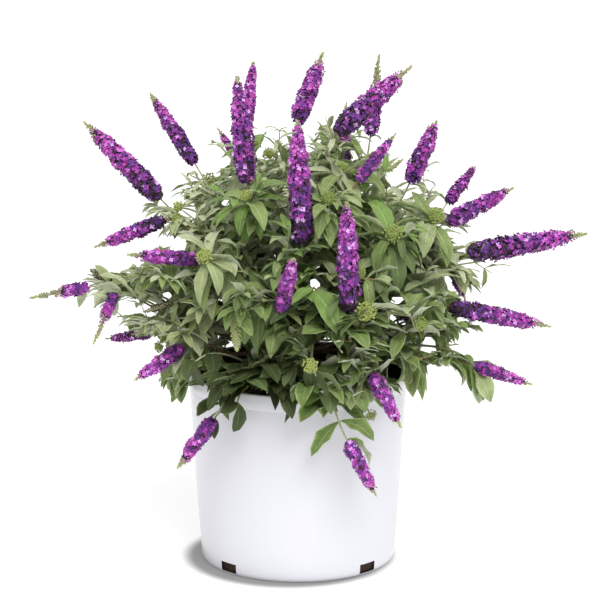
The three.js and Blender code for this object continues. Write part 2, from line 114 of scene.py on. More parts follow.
def studio_world():
    """As light, the world's strength is the horizon's plus the rise times the height of the direction."""
    world = bpy.data.worlds.new("white_studio")
    world.use_nodes = True
    tree = world.node_tree
    toward = add_node(tree, "TexCoord").outputs["Generated"]
    height = add_node(tree, "SeparateXYZ", [toward]).outputs["Z"]
    above = add_node(tree, "Math", [height, 0.0], operation="MAXIMUM").outputs[0]
    light = add_node(tree, "Math", [above, SKY_RISE, SKY_HORIZON], operation="MULTIPLY_ADD").outputs[0]
    seen = add_node(tree, "LightPath").outputs["Is Camera Ray"]
    strength = add_node(tree, "Mix", {"Factor": seen, "A": light, "B": 1.0}).outputs["Result"]
    background = tree.nodes["Background"].inputs
    background["Color"].default_value = WHITE
    tree.links.new(strength, background["Strength"])
    bpy.context.scene.world = world


def key_light():
    """A far lamp of wide angle, so the whole floor gets the same light from it."""
    azimuth, elevation = math.radians(KEY_LIGHT["azimuth"]), math.radians(KEY_LIGHT["elevation"])
    level = math.cos(elevation)
    toward = Vector((level * math.cos(azimuth), level * math.sin(azimuth), math.sin(elevation)))
    data = bpy.data.lights.new("key_light", "SUN")
    data.energy = KEY_LIGHT["strength"]
    data.angle = math.radians(KEY_LIGHT["softness"])
    lamp = bpy.data.objects.new("key_light", data)
    lamp.location = AIM + VIEW_DISTANCE * toward
    lamp.rotation_euler = toward.to_track_quat("Z", "Y").to_euler()
    bpy.context.scene.collection.objects.link(lamp)


studio_world()
key_light()
bpy.context.scene.view_settings.view_transform = "Standard"
print("one key light under a white ceiling")

# %% [markdown]
# ## Colours and two shared effects
#
# Colours are written as they look on a screen, from 0 to 255, and turned to the linear values that Blender
# mixes. Nothing that grows or is moulded has one even colour, so a shared node group makes a colour lighter
# and darker in soft patches, and a second one gives a surface fine relief.

# %% Colour helper and node groups
NOISE_SPREAD = 4.0  # noise keeps near its middle, so its swing is widened by this much


def screen(red, green, blue):
    """A screen colour as linear values: a part over 255 to the power 2.4, with a straight foot near black."""
    parts = np.array([red, green, blue]) / 255
    linear = np.where(parts <= 0.04045, parts / 12.92, ((parts + 0.055) / 1.055) ** 2.4)
    return (*linear.tolist(), 1.0)


def new_group(name, inputs, outputs):
    """An empty node group with named sockets, the sockets that it is given and those that it gives back."""
    group = bpy.data.node_groups.new(name, "ShaderNodeTree")
    for label, kind, value in inputs:
        socket = group.interface.new_socket(label, in_out="INPUT", socket_type="NodeSocket" + kind)
        socket.default_value = value
    for label, kind in outputs:
        group.interface.new_socket(label, in_out="OUTPUT", socket_type="NodeSocket" + kind)
    return group, group.nodes.new("NodeGroupInput").outputs, group.nodes.new("NodeGroupOutput").inputs


def object_noise(group, scale, detail):
    """Noise on the Object coordinates, between 0 and 1."""
    place = add_node(group, "TexCoord").outputs["Object"]
    return add_node(group, "TexNoise", {"Vector": place, "Scale": scale, "Detail": detail}).outputs["Fac"]


def mottle_group():
    """Colour times a factor that wanders about 1 by Amount, read from noise on the Object coordinates."""
    group, given, result = new_group(
        "soft_mottle",
        [("Color", "Color", (0.5, 0.5, 0.5, 1)), ("Scale", "Float", 40.0), ("Amount", "Float", 0.2)],
        [("Color", "Color")],
    )
    noise = object_noise(group, given["Scale"], 3.0)
    centred = add_node(group, "Math", [noise, 0.5], operation="SUBTRACT").outputs[0]
    swing = add_node(group, "Math", [given["Amount"], NOISE_SPREAD], operation="MULTIPLY").outputs[0]
    factor = add_node(group, "Math", [centred, swing, 1.0], operation="MULTIPLY_ADD").outputs[0]
    tint = add_node(group, "VectorMath", {0: given["Color"], "Scale": factor}, operation="SCALE")
    group.links.new(tint.outputs[0], result["Color"])
    return group


def relief_group():
    """A normal roughened by noise on the Object coordinates: Scale is its fineness, Depth its height."""
    group, given, result = new_group(
        "fine_relief", [("Scale", "Float", 400.0), ("Depth", "Float", 0.0003)], [("Normal", "Vector")]
    )
    noise = object_noise(group, given["Scale"], 4.0)
    bump = add_node(group, "Bump", {"Strength": 1.0, "Distance": given["Depth"], "Height": noise})
    group.links.new(bump.outputs["Normal"], result["Normal"])
    return group


soft_mottle = mottle_group()
fine_relief = relief_group()
print("node groups:", soft_mottle.name, "and", fine_relief.name)

# %% [markdown]
# ## The finish of a leaf
#
# A leaf of this bush is felted: dull, with a pale midrib and side veins that run out to the margin. The
# blade's own UV map runs along the leaf in U and across it in V, so one group can draw the veins on every
# leaf at once. It is a mask, not a picture: the distance from the middle line, and a saw of slanting lines.

# %% Vein group and material makers
VEIN_PAIRS, VEIN_SLANT = 60.0, 26.0
MIDRIB_SHARPNESS = 14
SIDE_VEIN_HEIGHT = 0.25  # beside the midrib's height of 1
LIGHT_THROUGH = 0.5  # share of a leaf's colour that light reaches from inside the blade


def vein_group():
    """Mask is 1 on the midrib and fades out beside it; Height adds slanting side veins to it.

    The side veins are a sine of the place along the leaf less the distance from the midrib.
    """
    group, given, result = new_group(
        "leaf_veins",
        [("Pairs", "Float", VEIN_PAIRS), ("Slant", "Float", VEIN_SLANT)],
        [("Mask", "Float"), ("Height", "Float")],
    )

    def work(operation, *values):
        return add_node(group, "Math", values, operation=operation).outputs[0]

    place = add_node(group, "SeparateXYZ", [add_node(group, "UVMap").outputs["UV"]]).outputs
    across = work("ABSOLUTE", work("SUBTRACT", place["Y"], 0.5))
    midrib = work("MAXIMUM", work("SUBTRACT", 1, work("MULTIPLY", across, MIDRIB_SHARPNESS)), 0)
    along = work("MULTIPLY", place["X"], given["Pairs"])
    phase = work("SUBTRACT", along, work("MULTIPLY", across, given["Slant"]))
    ripple = work("MULTIPLY", work("SINE", phase), SIDE_VEIN_HEIGHT)
    group.links.new(midrib, result["Mask"])
    group.links.new(work("SUBTRACT", ripple, midrib), result["Height"])
    return group


leaf_veins = vein_group()


def plain_finish(name, colour, roughness, mottle=(40.0, 0.2), relief=(400.0, 0.0003), **sockets):
    """A material with a screen colour in soft patches and fine relief. Other sockets are set as given."""
    material = bpy.data.materials.new(name)
    material.use_nodes = True
    tree = material.node_tree
    shader = tree.nodes["Principled BSDF"].inputs
    patches = {"Color": screen(*colour), "Scale": mottle[0], "Amount": mottle[1]}
    felt = {"Scale": relief[0], "Depth": relief[1]}
    for group, values, label, target in [
        (soft_mottle, patches, "Color", "Base Color"), (fine_relief, felt, "Normal", "Normal"),
    ]:
        node = add_node(tree, "Group", values, node_tree=group)
        tree.links.new(node.outputs[label], shader[target])
    for label, value in {"Roughness": roughness, **sockets}.items():
        shader[label.replace("_", " ")].default_value = value
    return material


def finish_set(tints, roughness, mottle, relief, **sockets):
    """One plain finish for each name and screen colour."""
    return [plain_finish(name, colour, roughness, mottle, relief, **sockets) for name, colour in tints]


def leaf_finish(name, colour, midrib, roughness=0.62, light_through=LIGHT_THROUGH):
    """The plain finish with the leaf's veins: the midrib takes its own colour, and all veins are relief."""
    material = plain_finish(
        name, colour, roughness, mottle=(55.0, 0.22), Specular_IOR_Level=0.35,
        Subsurface_Weight=light_through, Subsurface_Radius=(0.8, 1.0, 0.45), Subsurface_Scale=0.0009,
    )
    tree = material.node_tree
    shader = tree.nodes["Principled BSDF"].inputs
    patches, felt = (shader[label].links[0].from_socket for label in ("Base Color", "Normal"))
    veins = add_node(tree, "Group", {"Pairs": VEIN_PAIRS, "Slant": VEIN_SLANT}, node_tree=leaf_veins).outputs
    mix = add_node(
        tree, "Mix", {"Factor": veins["Mask"], "A": patches, "B": screen(*midrib)}, data_type="RGBA"
    )
    bump = add_node(
        tree, "Bump", {"Strength": 0.6, "Distance": 0.0008, "Height": veins["Height"], "Normal": felt}
    )
    tree.links.new(mix.outputs["Result"], shader["Base Color"])
    tree.links.new(bump.outputs["Normal"], shader["Normal"])
    return material


print("node group:", leaf_veins.name)

# %% [markdown]
# ## From arrays to a mesh
#
# Every surface below is worked out as a whole array of points and a few arrays of faces. One helper hands
# them to Blender, one makes a tube along many curves at once, and one sets copies of a small form at many
# places. A finished piece's object stays at the origin: its place is in its points.

# %% Mesh helpers
UP = np.array([0.0, 0.0, 1.0])
MM = 0.001


def new_piece(name, points, faces, materials, material_index=None, uv=None, smooth=True):
    """An object from points (n, 3) and a list of face arrays (m, corners), one UV pair a point if given."""
    mesh = bpy.data.meshes.new(name)
    points = np.ascontiguousarray(points, dtype=np.float32)
    corners = np.concatenate([array.ravel() for array in faces]).astype(np.int32)
    sizes = np.concatenate([np.full(len(array), array.shape[1]) for array in faces])
    starts = np.concatenate([[0], np.cumsum(sizes)[:-1]]).astype(np.int32)
    mesh.vertices.add(len(points))
    mesh.vertices.foreach_set("co", points.ravel())
    mesh.loops.add(len(corners))
    mesh.loops.foreach_set("vertex_index", corners)
    mesh.polygons.add(len(sizes))
    mesh.polygons.foreach_set("loop_start", starts)
    mesh.polygons.foreach_set("use_smooth", np.full(len(sizes), smooth))
    for material in materials:
        mesh.materials.append(material)
    if material_index is not None:
        mesh.polygons.foreach_set("material_index", np.asarray(material_index, dtype=np.int32))
    if uv is not None:
        layer = mesh.uv_layers.new(name="UVMap")
        layer.data.foreach_set("uv", np.asarray(uv, dtype=np.float32)[corners].ravel())
    mesh.update(calc_edges=True)
    mesh.validate()
    piece = bpy.data.objects.new(name, mesh)
    bpy.context.scene.collection.objects.link(piece)
    print(f"{name}: {int((sizes - 2).sum())} triangles")
    return piece


def unit(vectors):
    """Each vector divided by its own length."""
    return vectors / np.linalg.norm(vectors, axis=-1, keepdims=True)


def direction(azimuth, elevation):
    """The unit vector at an azimuth from +X towards +Y and an elevation above the level, both in degrees."""
    azimuth, elevation = np.radians(azimuth), np.radians(elevation)
    level = np.cos(elevation)
    return np.stack([level * np.cos(azimuth), level * np.sin(azimuth), np.sin(elevation)], axis=-1)


def full_turn(count):
    """Evenly spaced angles once round a circle."""
    return 2 * np.pi * np.arange(count) / count


def circle(turn, height=0.0):
    """Points of a unit circle at these angles: cosine, sine, and the same height."""
    return np.stack([np.cos(turn), np.sin(turn), np.full_like(turn, height)], axis=-1)


def neighbours(count):
    """The places round a ring, and the place after each."""
    place = np.arange(count)
    return place, (place + 1) % count


def turned_grid(profile, columns):
    """Points (rows, columns, 3) of a profile of (radius, height) turned once about the axis."""
    points = profile[:, :1, None] * circle(full_turn(columns))
    points[..., 2] = profile[:, 1:]
    return points


def curve_points(ends, shares):
    """Quadratic curves: (1-t)^2 of the first point, 2t(1-t) of the second and t^2 of the third."""
    t = np.asarray(shares)[..., None]
    first, second, third = (np.asarray(ends)[..., i, None, :] for i in range(3))
    return (1 - t) ** 2 * first + 2 * t * (1 - t) * second + t**2 * third


def curve_headings(ends, shares):
    """Their headings: (1-t) of the first leg plus t of the second leg, made a unit long."""
    t = np.asarray(shares)[..., None]
    first, second, third = (np.asarray(ends)[..., i, None, :] for i in range(3))
    return unit((1 - t) * (second - first) + t * (third - second))


def sideways(headings):
    """Two unit vectors square to each heading and to each other."""
    level = np.where(np.abs(headings[..., 2:3]) > 0.9, np.array([1.0, 0.0, 0.0]), UP)
    first = unit(np.cross(level, headings))
    return first, np.cross(headings, first)


def tube_points(ends, shares, radii, sides):
    """Rings of points round many curves: centre + radius * (cosine * one side + sine * the other side).

    ends is (n, 3, 3), shares (rings,) and radii (n, rings, sides or 1). All rings of a curve start from one
    reference, so the tube doesn't twist. The result is (n, rings, sides, 3).
    """
    centres = curve_points(ends, shares)
    headings = curve_headings(ends, shares)
    reference, _ = sideways(headings[:, :1])
    first = unit(reference - headings * np.sum(reference * headings, axis=-1, keepdims=True))
    second = np.cross(headings, first)
    turn = full_turn(sides)
    ring = first[:, :, None] * np.cos(turn)[:, None] + second[:, :, None] * np.sin(turn)[:, None]
    return centres[:, :, None] + ring * np.asarray(radii)[..., None]


def repeated(faces, count, points):
    """Arrays of faces once for each of many copies, whose points follow each other, so many to a copy."""
    offset = np.arange(count)[:, None, None] * points
    return [(array[None] + offset).reshape(-1, array.shape[1]) for array in faces]


def tube_faces(count, rings, sides):
    """Quads between neighbouring rings of many closed tubes, and one flat cap at both ends."""
    ring = np.arange(rings - 1)[:, None] * sides
    side, following = neighbours(sides)
    corners = [ring + side, ring + following, ring + sides + following, ring + sides + side]
    wall = np.stack(corners, axis=-1).reshape(-1, 4)
    return repeated([wall, side[None, ::-1], (rings - 1) * sides + side[None]], count, rings * sides)


def copies(points, faces, places, axes, sizes):
    """Copies of one small form: place + size * (its x, y and z along the three axes of that place)."""
    size = np.broadcast_to(sizes, len(places))[:, None, None]
    moved = np.einsum("pk,nkj->npj", points, axes) * size + places[:, None]
    return moved.reshape(-1, 3), repeated(faces, len(places), len(points))


def turned_axes(headings, spin):
    """Axes (n, 3, 3) whose third is the heading and whose other two are turned about it by spin."""
    first, second = sideways(headings)
    cosine, sine = np.cos(spin)[:, None], np.sin(spin)[:, None]
    return np.stack([first * cosine + second * sine, second * cosine - first * sine, headings], axis=1)


print("mesh helpers ready")

# %% [markdown]
# ## The pot
#
# A nursery pot is thin blow-moulded or injected plastic: white outside, to keep the roots cool, and black
# inside. It widens upward so that pots nest, has a thicker band and a rolled lip at the rim, and slots low
# in the wall let water out. Turning a profile about the axis gives all of that but the slots. Those are
# made in the same grid: the cells of both walls are left out there, and short faces join the two walls
# round each hole. The front is left bare.

# %% Pot profile
pot_high = np.array(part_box("pot")[1])
POT_HEIGHT = pot_high[2]
RIM_RADIUS = pot_high[0]
BASE_RADIUS = RIM_RADIUS - 17.5 * MM
POT_WALL = 2.4 * MM
POT_FLOOR = 3.0 * MM
BASE_EDGE = 6.0 * MM
BAND_HEIGHT = 20.0 * MM
BAND_PROUD = 1.4 * MM
BAND_STEP = 1.2 * MM  # the height over which the wall steps out to the band
ABOVE_SLOTS = 20 * MM  # the lowest plain ring above the slots
BELOW_LIP = 12 * MM  # the first ring inside, below the rim
INSIDE_RINGS = 12
POT_COLUMNS = 240
SLOT_ROWS = np.array([3.5, 6.0, 9.0, 12.5, 15.5]) * MM
SLOT_COLUMNS = 8
SLOT_COUNT = 4


def pot_radius(height):
    """The outside of the plain wall: the base radius, widening evenly to the rim less the band."""
    return BASE_RADIUS + (RIM_RADIUS - BAND_PROUD - BASE_RADIUS) * height / POT_HEIGHT


def pot_profile():
    """(radius, height) up the outside, over the lip and down the inside, and where each wall's slot rows are.

    The base edge is a quarter circle, the lip is a half circle and the walls between are straight.
    """
    bend = np.linspace(0, 1, 7)[:-1]
    low = BASE_EDGE * (1 - np.cos(bend * np.pi / 2))
    low = np.append(low[low < SLOT_ROWS[0]], SLOT_ROWS[0])
    inward = BASE_EDGE * (1 - np.sqrt(1 - (1 - low / BASE_EDGE) ** 2))
    edge = np.stack([pot_radius(BASE_EDGE) - inward, low], axis=1)
    band_foot = POT_HEIGHT - BAND_HEIGHT
    plain = np.concatenate([SLOT_ROWS[1:], np.linspace(ABOVE_SLOTS, band_foot - 0.5 * MM, 14)])
    wall = np.stack([pot_radius(plain), plain], axis=1)
    step = np.linspace(0, 1, 5)
    step_out = pot_radius(band_foot) + BAND_PROUD * (1 - np.cos(step * np.pi)) / 2
    band = np.stack([step_out, band_foot + BAND_STEP * step], axis=1)
    lip = (POT_WALL + BAND_PROUD) / 2
    turn = np.linspace(0, np.pi, 9)
    top = np.stack([RIM_RADIUS - lip + lip * np.cos(turn), POT_HEIGHT - lip + lip * np.sin(turn)], axis=1)
    down = np.linspace(POT_HEIGHT - BELOW_LIP, ABOVE_SLOTS, INSIDE_RINGS)
    down = np.concatenate([down, SLOT_ROWS[::-1]])
    inside = np.stack([pot_radius(down) - POT_WALL, down], axis=1)
    floor = [[pot_radius(POT_FLOOR) - POT_WALL, POT_FLOOR]]
    outside_rows = len(edge) - 1 + np.arange(len(SLOT_ROWS))
    before_inside = len(edge) + len(wall) + len(band) + len(top)
    inside_rows = before_inside + INSIDE_RINGS + np.arange(len(SLOT_ROWS))[::-1]
    profile = np.concatenate([edge, wall, band, top, inside, floor])
    return profile, outside_rows, inside_rows, before_inside


profile, outer_rows, inner_rows, first_inside = pot_profile()
print(len(profile), "rings; the slots lie between", profile[outer_rows[[0, -1]], 1], "m")

# %% Pot mesh


def pot_mesh():
    """The turned grid without the slot cells, the flat underside and floor, and the faces round each slot."""
    rows = len(profile)
    row, column = np.meshgrid(np.arange(rows - 1), np.arange(POT_COLUMNS), indexing="ij")
    quarter = POT_COLUMNS // SLOT_COUNT
    place = (column - quarter // 2 + SLOT_COLUMNS // 2) % quarter
    in_slot = place < SLOT_COLUMNS
    outer = (row >= outer_rows[0]) & (row < outer_rows[-1])
    inner = (row >= inner_rows[-1]) & (row < inner_rows[0])
    kept = ~(in_slot & (outer | inner))

    def quads(*corners):
        """Faces from pairs of row and column, one pair to a corner."""
        places = [rows_at * POT_COLUMNS + columns_at % POT_COLUMNS for rows_at, columns_at in corners]
        return np.stack(places, axis=-1)

    wall = quads((row, column), (row, column + 1), (row + 1, column + 1), (row + 1, column))[kept]
    inside = (row >= first_inside - 1)[kept]
    underside = np.arange(POT_COLUMNS)[None, ::-1]
    floor = (rows - 1) * POT_COLUMNS + np.arange(POT_COLUMNS)[None, :]
    first = quarter // 2 - SLOT_COLUMNS // 2 + quarter * np.arange(SLOT_COUNT)[:, None]
    across = first + np.arange(SLOT_COLUMNS)
    out, back, last = outer_rows, inner_rows, first + SLOT_COLUMNS
    low_out, high_out, low_back, high_back = out[:-1], out[1:], back[:-1], back[1:]
    reveal = np.concatenate([side.reshape(-1, 4) for side in (
        quads((out[0], across), (out[0], across + 1), (back[0], across + 1), (back[0], across)),
        quads((out[-1], across), (back[-1], across), (back[-1], across + 1), (out[-1], across + 1)),
        quads((low_out, first), (low_back, first), (high_back, first), (high_out, first)),
        quads((low_out, last), (high_out, last), (high_back, last), (low_back, last)),
    )])
    faces = [wall, reveal, underside, floor]
    dark = np.concatenate([inside, np.ones(len(reveal)), [0], [1]])
    return turned_grid(profile, POT_COLUMNS).reshape(-1, 3), faces, dark


white_plastic = plain_finish(
    "white_plastic", (219, 219, 226), 0.27, mottle=(9.0, 0.012), relief=(260.0, 0.00004),
    Coat_Weight=0.25, Coat_Roughness=0.12,
)
black_plastic = plain_finish("black_plastic", (22, 21, 22), 0.42, mottle=(30.0, 0.1), relief=(300.0, 0.0001))
pot_points, pot_faces, pot_dark = pot_mesh()
pot = new_piece("nursery_pot", pot_points, pot_faces, [white_plastic, black_plastic], pot_dark)
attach(pot, "root")
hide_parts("pot")
pot.data.set_sharp_from_angle(angle=math.radians(32))

# %% [markdown]
# ## Potting mix
#
# The mix is composted bark: a dark, crumbly heap that has settled a little below the rim and slopes up to
# the trunk. Its surface is a disc of rings whose height wanders by a sum of sines, and loose flakes of bark
# in four browns lie on it.

# %% Soil heap
SOIL_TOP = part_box("potting_soil")[1][2]
SOIL_EDGE = SOIL_TOP - 6.0 * MM
SOIL_GAP = 0.6 * MM
SOIL_CROWN = 45.0 * MM
SOIL_EYE = 2 * MM  # radius of the innermost ring
SOIL_RINGS = 46
SOIL_COLUMNS = 160
SOIL_CRUMBS = [(1.3, 24, 0.030), (0.9, 40, 0.010)]  # height in millimetres, number of waves, their length
SOIL_SETTLED = 1.2
soil_numbers = np.random.default_rng(31)


def ripples(places, count, length, numbers):
    """A sum of sines: each one runs over the places in a random direction, with a wavelength near length."""
    headings = unit(numbers.normal(size=(count, places.shape[-1])))
    lengths = length * numbers.uniform(0.6, 1.5, count)
    phases = numbers.uniform(0, 2 * np.pi, count)
    waves = np.sin(2 * np.pi * (places @ headings.T) / lengths + phases)
    return waves.sum(axis=-1) / math.sqrt(count)


def soil_height(level):
    """The heap's smooth height at a distance from the axis: level over the crown, then an even slope."""
    edge = pot_radius(SOIL_EDGE) - POT_WALL - SOIL_GAP
    slope = np.clip((edge - level) / (edge - SOIL_CROWN), 0, 1)
    return SOIL_EDGE + (SOIL_TOP - SOIL_EDGE) * slope


def soil_mesh():
    """A closed plug: the flat bottom, the side that follows the pot, and the crumbly top in rings."""
    side = np.linspace(POT_FLOOR + SOIL_GAP / 2, SOIL_EDGE, 12)
    side_radius = pot_radius(side) - POT_WALL - SOIL_GAP
    top_radius = np.linspace(side_radius[-1], SOIL_EYE, SOIL_RINGS)[1:]
    radius = np.concatenate([side_radius, top_radius])
    height = np.concatenate([side, soil_height(top_radius)])
    points = turned_grid(np.stack([radius, height], axis=1), SOIL_COLUMNS)
    top = points[len(side):]
    crumbs = sum(rise * ripples(top[..., :2], *waves, soil_numbers) for rise, *waves in SOIL_CRUMBS)
    top[..., 2] += (crumbs - SOIL_SETTLED) * MM
    return points.reshape(-1, 3), tube_faces(1, len(radius), SOIL_COLUMNS)


potting_mix = plain_finish("potting_mix", (66, 46, 33), 0.95, mottle=(160.0, 0.35), relief=(420.0, 0.0012))
soil = new_piece("potting_mix_heap", *soil_mesh(), [potting_mix])
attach(soil, "root")
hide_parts("potting_soil")

# %% Bark flakes on the soil
FLAKES = 3200
FLAKE_BROWNS = [(84, 56, 38), (62, 42, 30), (44, 31, 24), (112, 80, 54)]
FLAKE_SHARES = [0.35, 0.35, 0.22, 0.08]
FLAKE_OUTLINE = np.array([1.0, 0.8, 1.2, 0.7, 1.1])
FLAKE_HALF = 0.35  # half the thickness, as a share of the size
FLAKE_SIZE = (1.2, 3.0)
FLAKE_STRETCH = (0.8, 2.2)
FLAKE_CLEAR = 5 * MM  # from the pot's wall


def flake_mesh():
    """Flat five-sided crumbs, tilted at random, with their middles on the heap."""
    ring = circle(full_turn(5)) * FLAKE_OUTLINE[:, None]
    form = np.concatenate([ring + [0, 0, FLAKE_HALF], ring * 0.9 - [0, 0, FLAKE_HALF]])
    side, following = neighbours(5)
    walls = np.stack([side + 5, following + 5, following, side], axis=1)
    faces = [walls, side[None, :], (side[::-1] + 5)[None, :]]
    edge = pot_radius(SOIL_EDGE) - POT_WALL - FLAKE_CLEAR
    level = edge * np.sqrt(soil_numbers.uniform(0.01, 1, FLAKES))
    azimuth = soil_numbers.uniform(0, 2 * np.pi, FLAKES)
    lift = soil_numbers.uniform(-0.6, 1.6, FLAKES) * MM
    places = circle(azimuth) * level[:, None] + (soil_height(level) + lift)[:, None] * UP
    lean = unit(soil_numbers.normal(size=(FLAKES, 3)) * 0.45 + UP)
    axes = turned_axes(lean, soil_numbers.uniform(0, 2 * np.pi, FLAKES))
    axes[:, 0] *= soil_numbers.uniform(*FLAKE_STRETCH, FLAKES)[:, None]
    return copies(form, faces, places, axes, soil_numbers.uniform(*FLAKE_SIZE, FLAKES) * MM)


flake_finishes = finish_set(
    [(f"bark_flake_{i}", brown) for i, brown in enumerate(FLAKE_BROWNS)], 0.9, (220.0, 0.3), (700.0, 0.0004)
)
flake_points, flake_faces = flake_mesh()
flake_tint = soil_numbers.choice(len(FLAKE_BROWNS), FLAKES, p=FLAKE_SHARES)
flake_index = np.concatenate([np.repeat(flake_tint, 5), flake_tint, flake_tint])
flakes = new_piece("bark_flakes", flake_points, flake_faces, flake_finishes, flake_index, smooth=False)
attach(flakes, "root")

# %% [markdown]
# ## Trunk and boughs
#
# The bush was cut back when it was small, so its trunk is a short stump with a root flare, a waist, and a
# knuckle that all boughs spring from. The bark of this shrub hangs in long stringy ridges. The trunk is one
# tube whose radius follows the flare and waist, and whose ridges are sharpened sines round it. The boughs
# are nineteen thinner tubes that leave the knuckle, called the heart here, a little steeper than they end.

# %% The heart, the trunk and the boughs
HEART = np.array([0.0, 0.0, 262.0]) * MM
trunk_low, trunk_high = (np.array(corner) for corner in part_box("trunk"))
TRUNK_LEAN = 4.0 * MM
# radius of the trunk in millimetres at each share of its height: flare, neck, knuckle, blunt top
TRUNK_PROFILE = np.array(
    [[0, 24], [0.08, 19.5], [0.25, 15.5], [0.45, 14], [0.68, 16.5], [0.88, 14.5], [1, 8]]
)
TRUNK_RINGS = 70
TRUNK_SIDES = 96
TRUNK_STRANDS, BOUGH_STRANDS = (7, 11, 18, 27), (5, 7)
ROOT_LOBES = {"count": 5, "turn": 0.7, "height": 1.2 * MM, "fade": 12}
BOUGH = {"start": 6.0 * MM, "reach": 80.0 * MM, "base": 3.3 * MM, "tip": 2.4 * MM, "arch": 5.0}
LOW_BOUGH_ELEVATION = 5.0
bark_numbers = np.random.default_rng(47)


def stringy(turn, along, strands, numbers):
    """Long ridges from 0 to 1: one less the size of a sine round the stem that drifts as it climbs."""
    total = 0.0
    for strand in strands:
        drift = numbers.uniform(-0.5, 0.5) * along + 0.35 * np.sin(along * numbers.uniform(3, 7))
        total = total + 1 - np.abs(np.sin(strand * (turn + drift) / 2 + numbers.uniform(0, np.pi)))
    return total / len(strands)


def trunk_mesh():
    """Rings about the leaning middle line; radius is the profile's, less the furrows, plus root lobes."""
    share = np.linspace(0, 1, TRUNK_RINGS)[:, None]
    turn = full_turn(TRUNK_SIDES)[None, :]
    radius = np.interp(share, TRUNK_PROFILE[:, 0], TRUNK_PROFILE[:, 1]) * MM
    ridges = stringy(turn, share, TRUNK_STRANDS, bark_numbers)
    flare = np.exp(-share * ROOT_LOBES["fade"])
    lobes = np.sin(ROOT_LOBES["count"] * turn + ROOT_LOBES["turn"])
    radius = radius * (0.90 + 0.13 * ridges) + flare * ROOT_LOBES["height"] * lobes
    foot, top = trunk_low[2], trunk_high[2]
    lean = np.array([TRUNK_LEAN, -TRUNK_LEAN / 2, 0])
    ends = np.array([[lean + foot * UP, lean + (foot + top) / 2 * UP, top * UP]])
    middle = curve_points(ends, share[:, 0])[0][:, None]
    return (middle + circle(turn) * radius[..., None]).reshape(-1, 3), tube_faces(1, TRUNK_RINGS, TRUNK_SIDES)


bark = plain_finish("bark", (112, 88, 66), 0.9, mottle=(120.0, 0.3), relief=(900.0, 0.0009))
trunk = new_piece("bark_trunk", *trunk_mesh(), [bark])
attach(trunk, "root")
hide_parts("trunk")

# %% [markdown]
# ## How the bush grows
#
# From the heart every bough leads to one mass of foliage. A stem goes on from the bough and forks into
# arching shoots. Each shoot ends in a flower spike or in a tuft of young leaves. The space round the heart
# is shared out as cones, one to a mass, so the masses lie beside each other and none grows through another.
# The tables below give each mass its direction and its flower spikes, and the masses at the back are those
# of the front turned half round and varied. The same numbers made the solids, so the twigs come out where
# the solids are.

# %% Masses of foliage
# name, azimuth, elevation, number of leafy shoots, and the flower heads: azimuth, elevation and distance of
# the foot from the heart, azimuth and pitch of the heading, length and width
SINGLE_MASSES = [
    ("top", 170, 79, 4, [(89, 86, 297, 23, 68, 90, 25), (156, 76, 295, 0, 83, 83, 19)]),
    ("high_right", 4, 67, 4, [
        (0, 58, 266, -18, 67, 82, 24), (34, 68, 295, 56, 79, 98, 21), (-26, 79, 297, -10, 43, 122, 28),
    ]),
    ("high_left", 178, 54, 4, [(-173, 50, 273, -164, 47, 134, 27), (167, 61, 277, 160, 55, 101, 21)]),
    ("right", 0, 35, 4, [
        (9, 45, 272, 37, 43, 57, 17), (-6, 43, 260, -18, 30, 93, 22), (-13, 33, 262, -10, 12, 146, 28),
    ]),
    ("left", 180, 16, 5, [(-176, 19, 281, -172, -9, 71, 17)]),
]
PAIRED_MASSES = [
    ("front_high", -94, 64, 3, [
        (-128, 67, 263, -115, 80, 132, 27), (-53, 63, 278, -35, 50, 78, 16),
        (-88, 52, 228, -102, 80, 153, 28),
    ]),
    ("front", -82, 29, 5, [(-73, 28, 236, -96, 75, 140, 26), (-96, 30, 215, -77, 48, 100, 20)]),
    ("front_right", -30, 12, 5, [(-20, 21, 219, -14, -8, 123, 24), (-22, 2, 240, -25, -12, 72, 17)]),
    ("front_left_high", -145, 39, 4, [
        (-157, 46, 261, -163, -18, 90, 20), (-136, 41, 230, -150, 10, 93, 19),
    ]),
    ("front_left", -152, 8, 4, [(-157, 22, 264, -129, -54, 65, 15), (-143, 11, 184, -144, -23, 73, 20)]),
    ("front_low_right", -66, -3, 6, [(-71, -19, 201, -47, -49, 73, 19), (-60, 4, 185, -55, -42, 74, 20)]),
    ("front_low_left", -113, -4, 6, [(-125, -14, 189, -132, -37, 75, 20)]),
]
TURNED_NAMES = [
    "back_high", "back", "back_left", "back_right_high", "back_right", "back_low_left", "back_low_right",
]
CROWN_SEED = 4100
VARIED = {"least_size": 0.7, "size": 0.2, "turn": 8, "least_reach": 0.86, "reach": 0.06}


def seeded(seed):
    """A repeatable stream of numbers from 0 to 1, made by 32-bit products and shifts of a running state."""
    mask = 0xFFFFFFFF
    state = seed & mask
    while True:
        state = (state + 0x6D2B79F5) & mask
        mixed = ((state ^ (state >> 15)) * (state | 1)) & mask
        mixed ^= (mixed + ((mixed ^ (mixed >> 7)) * (mixed | 61))) & mask
        yield ((mixed ^ (mixed >> 14)) & mask) / 2**32


def turned_masses():
    """Each front mass half round the trunk, its heads a little larger or smaller, turned and nearer."""
    turned = []
    for index, (_, azimuth, elevation, fillers, heads) in enumerate(PAIRED_MASSES):
        random = seeded(CROWN_SEED - 1 - index)
        varied = []
        for at, rise, distance, heading, pitch, length, width in heads:
            size = VARIED["least_size"] + VARIED["size"] * next(random)
            turn = 180 + VARIED["turn"] * (next(random) - 0.5)
            reach = distance * (VARIED["least_reach"] + VARIED["reach"] * next(random))
            varied.append((at + 180, rise, reach, heading + turn, pitch, length * size, width * size))
        turned.append((TURNED_NAMES[index], azimuth + 180, elevation, fillers, varied))
    return turned


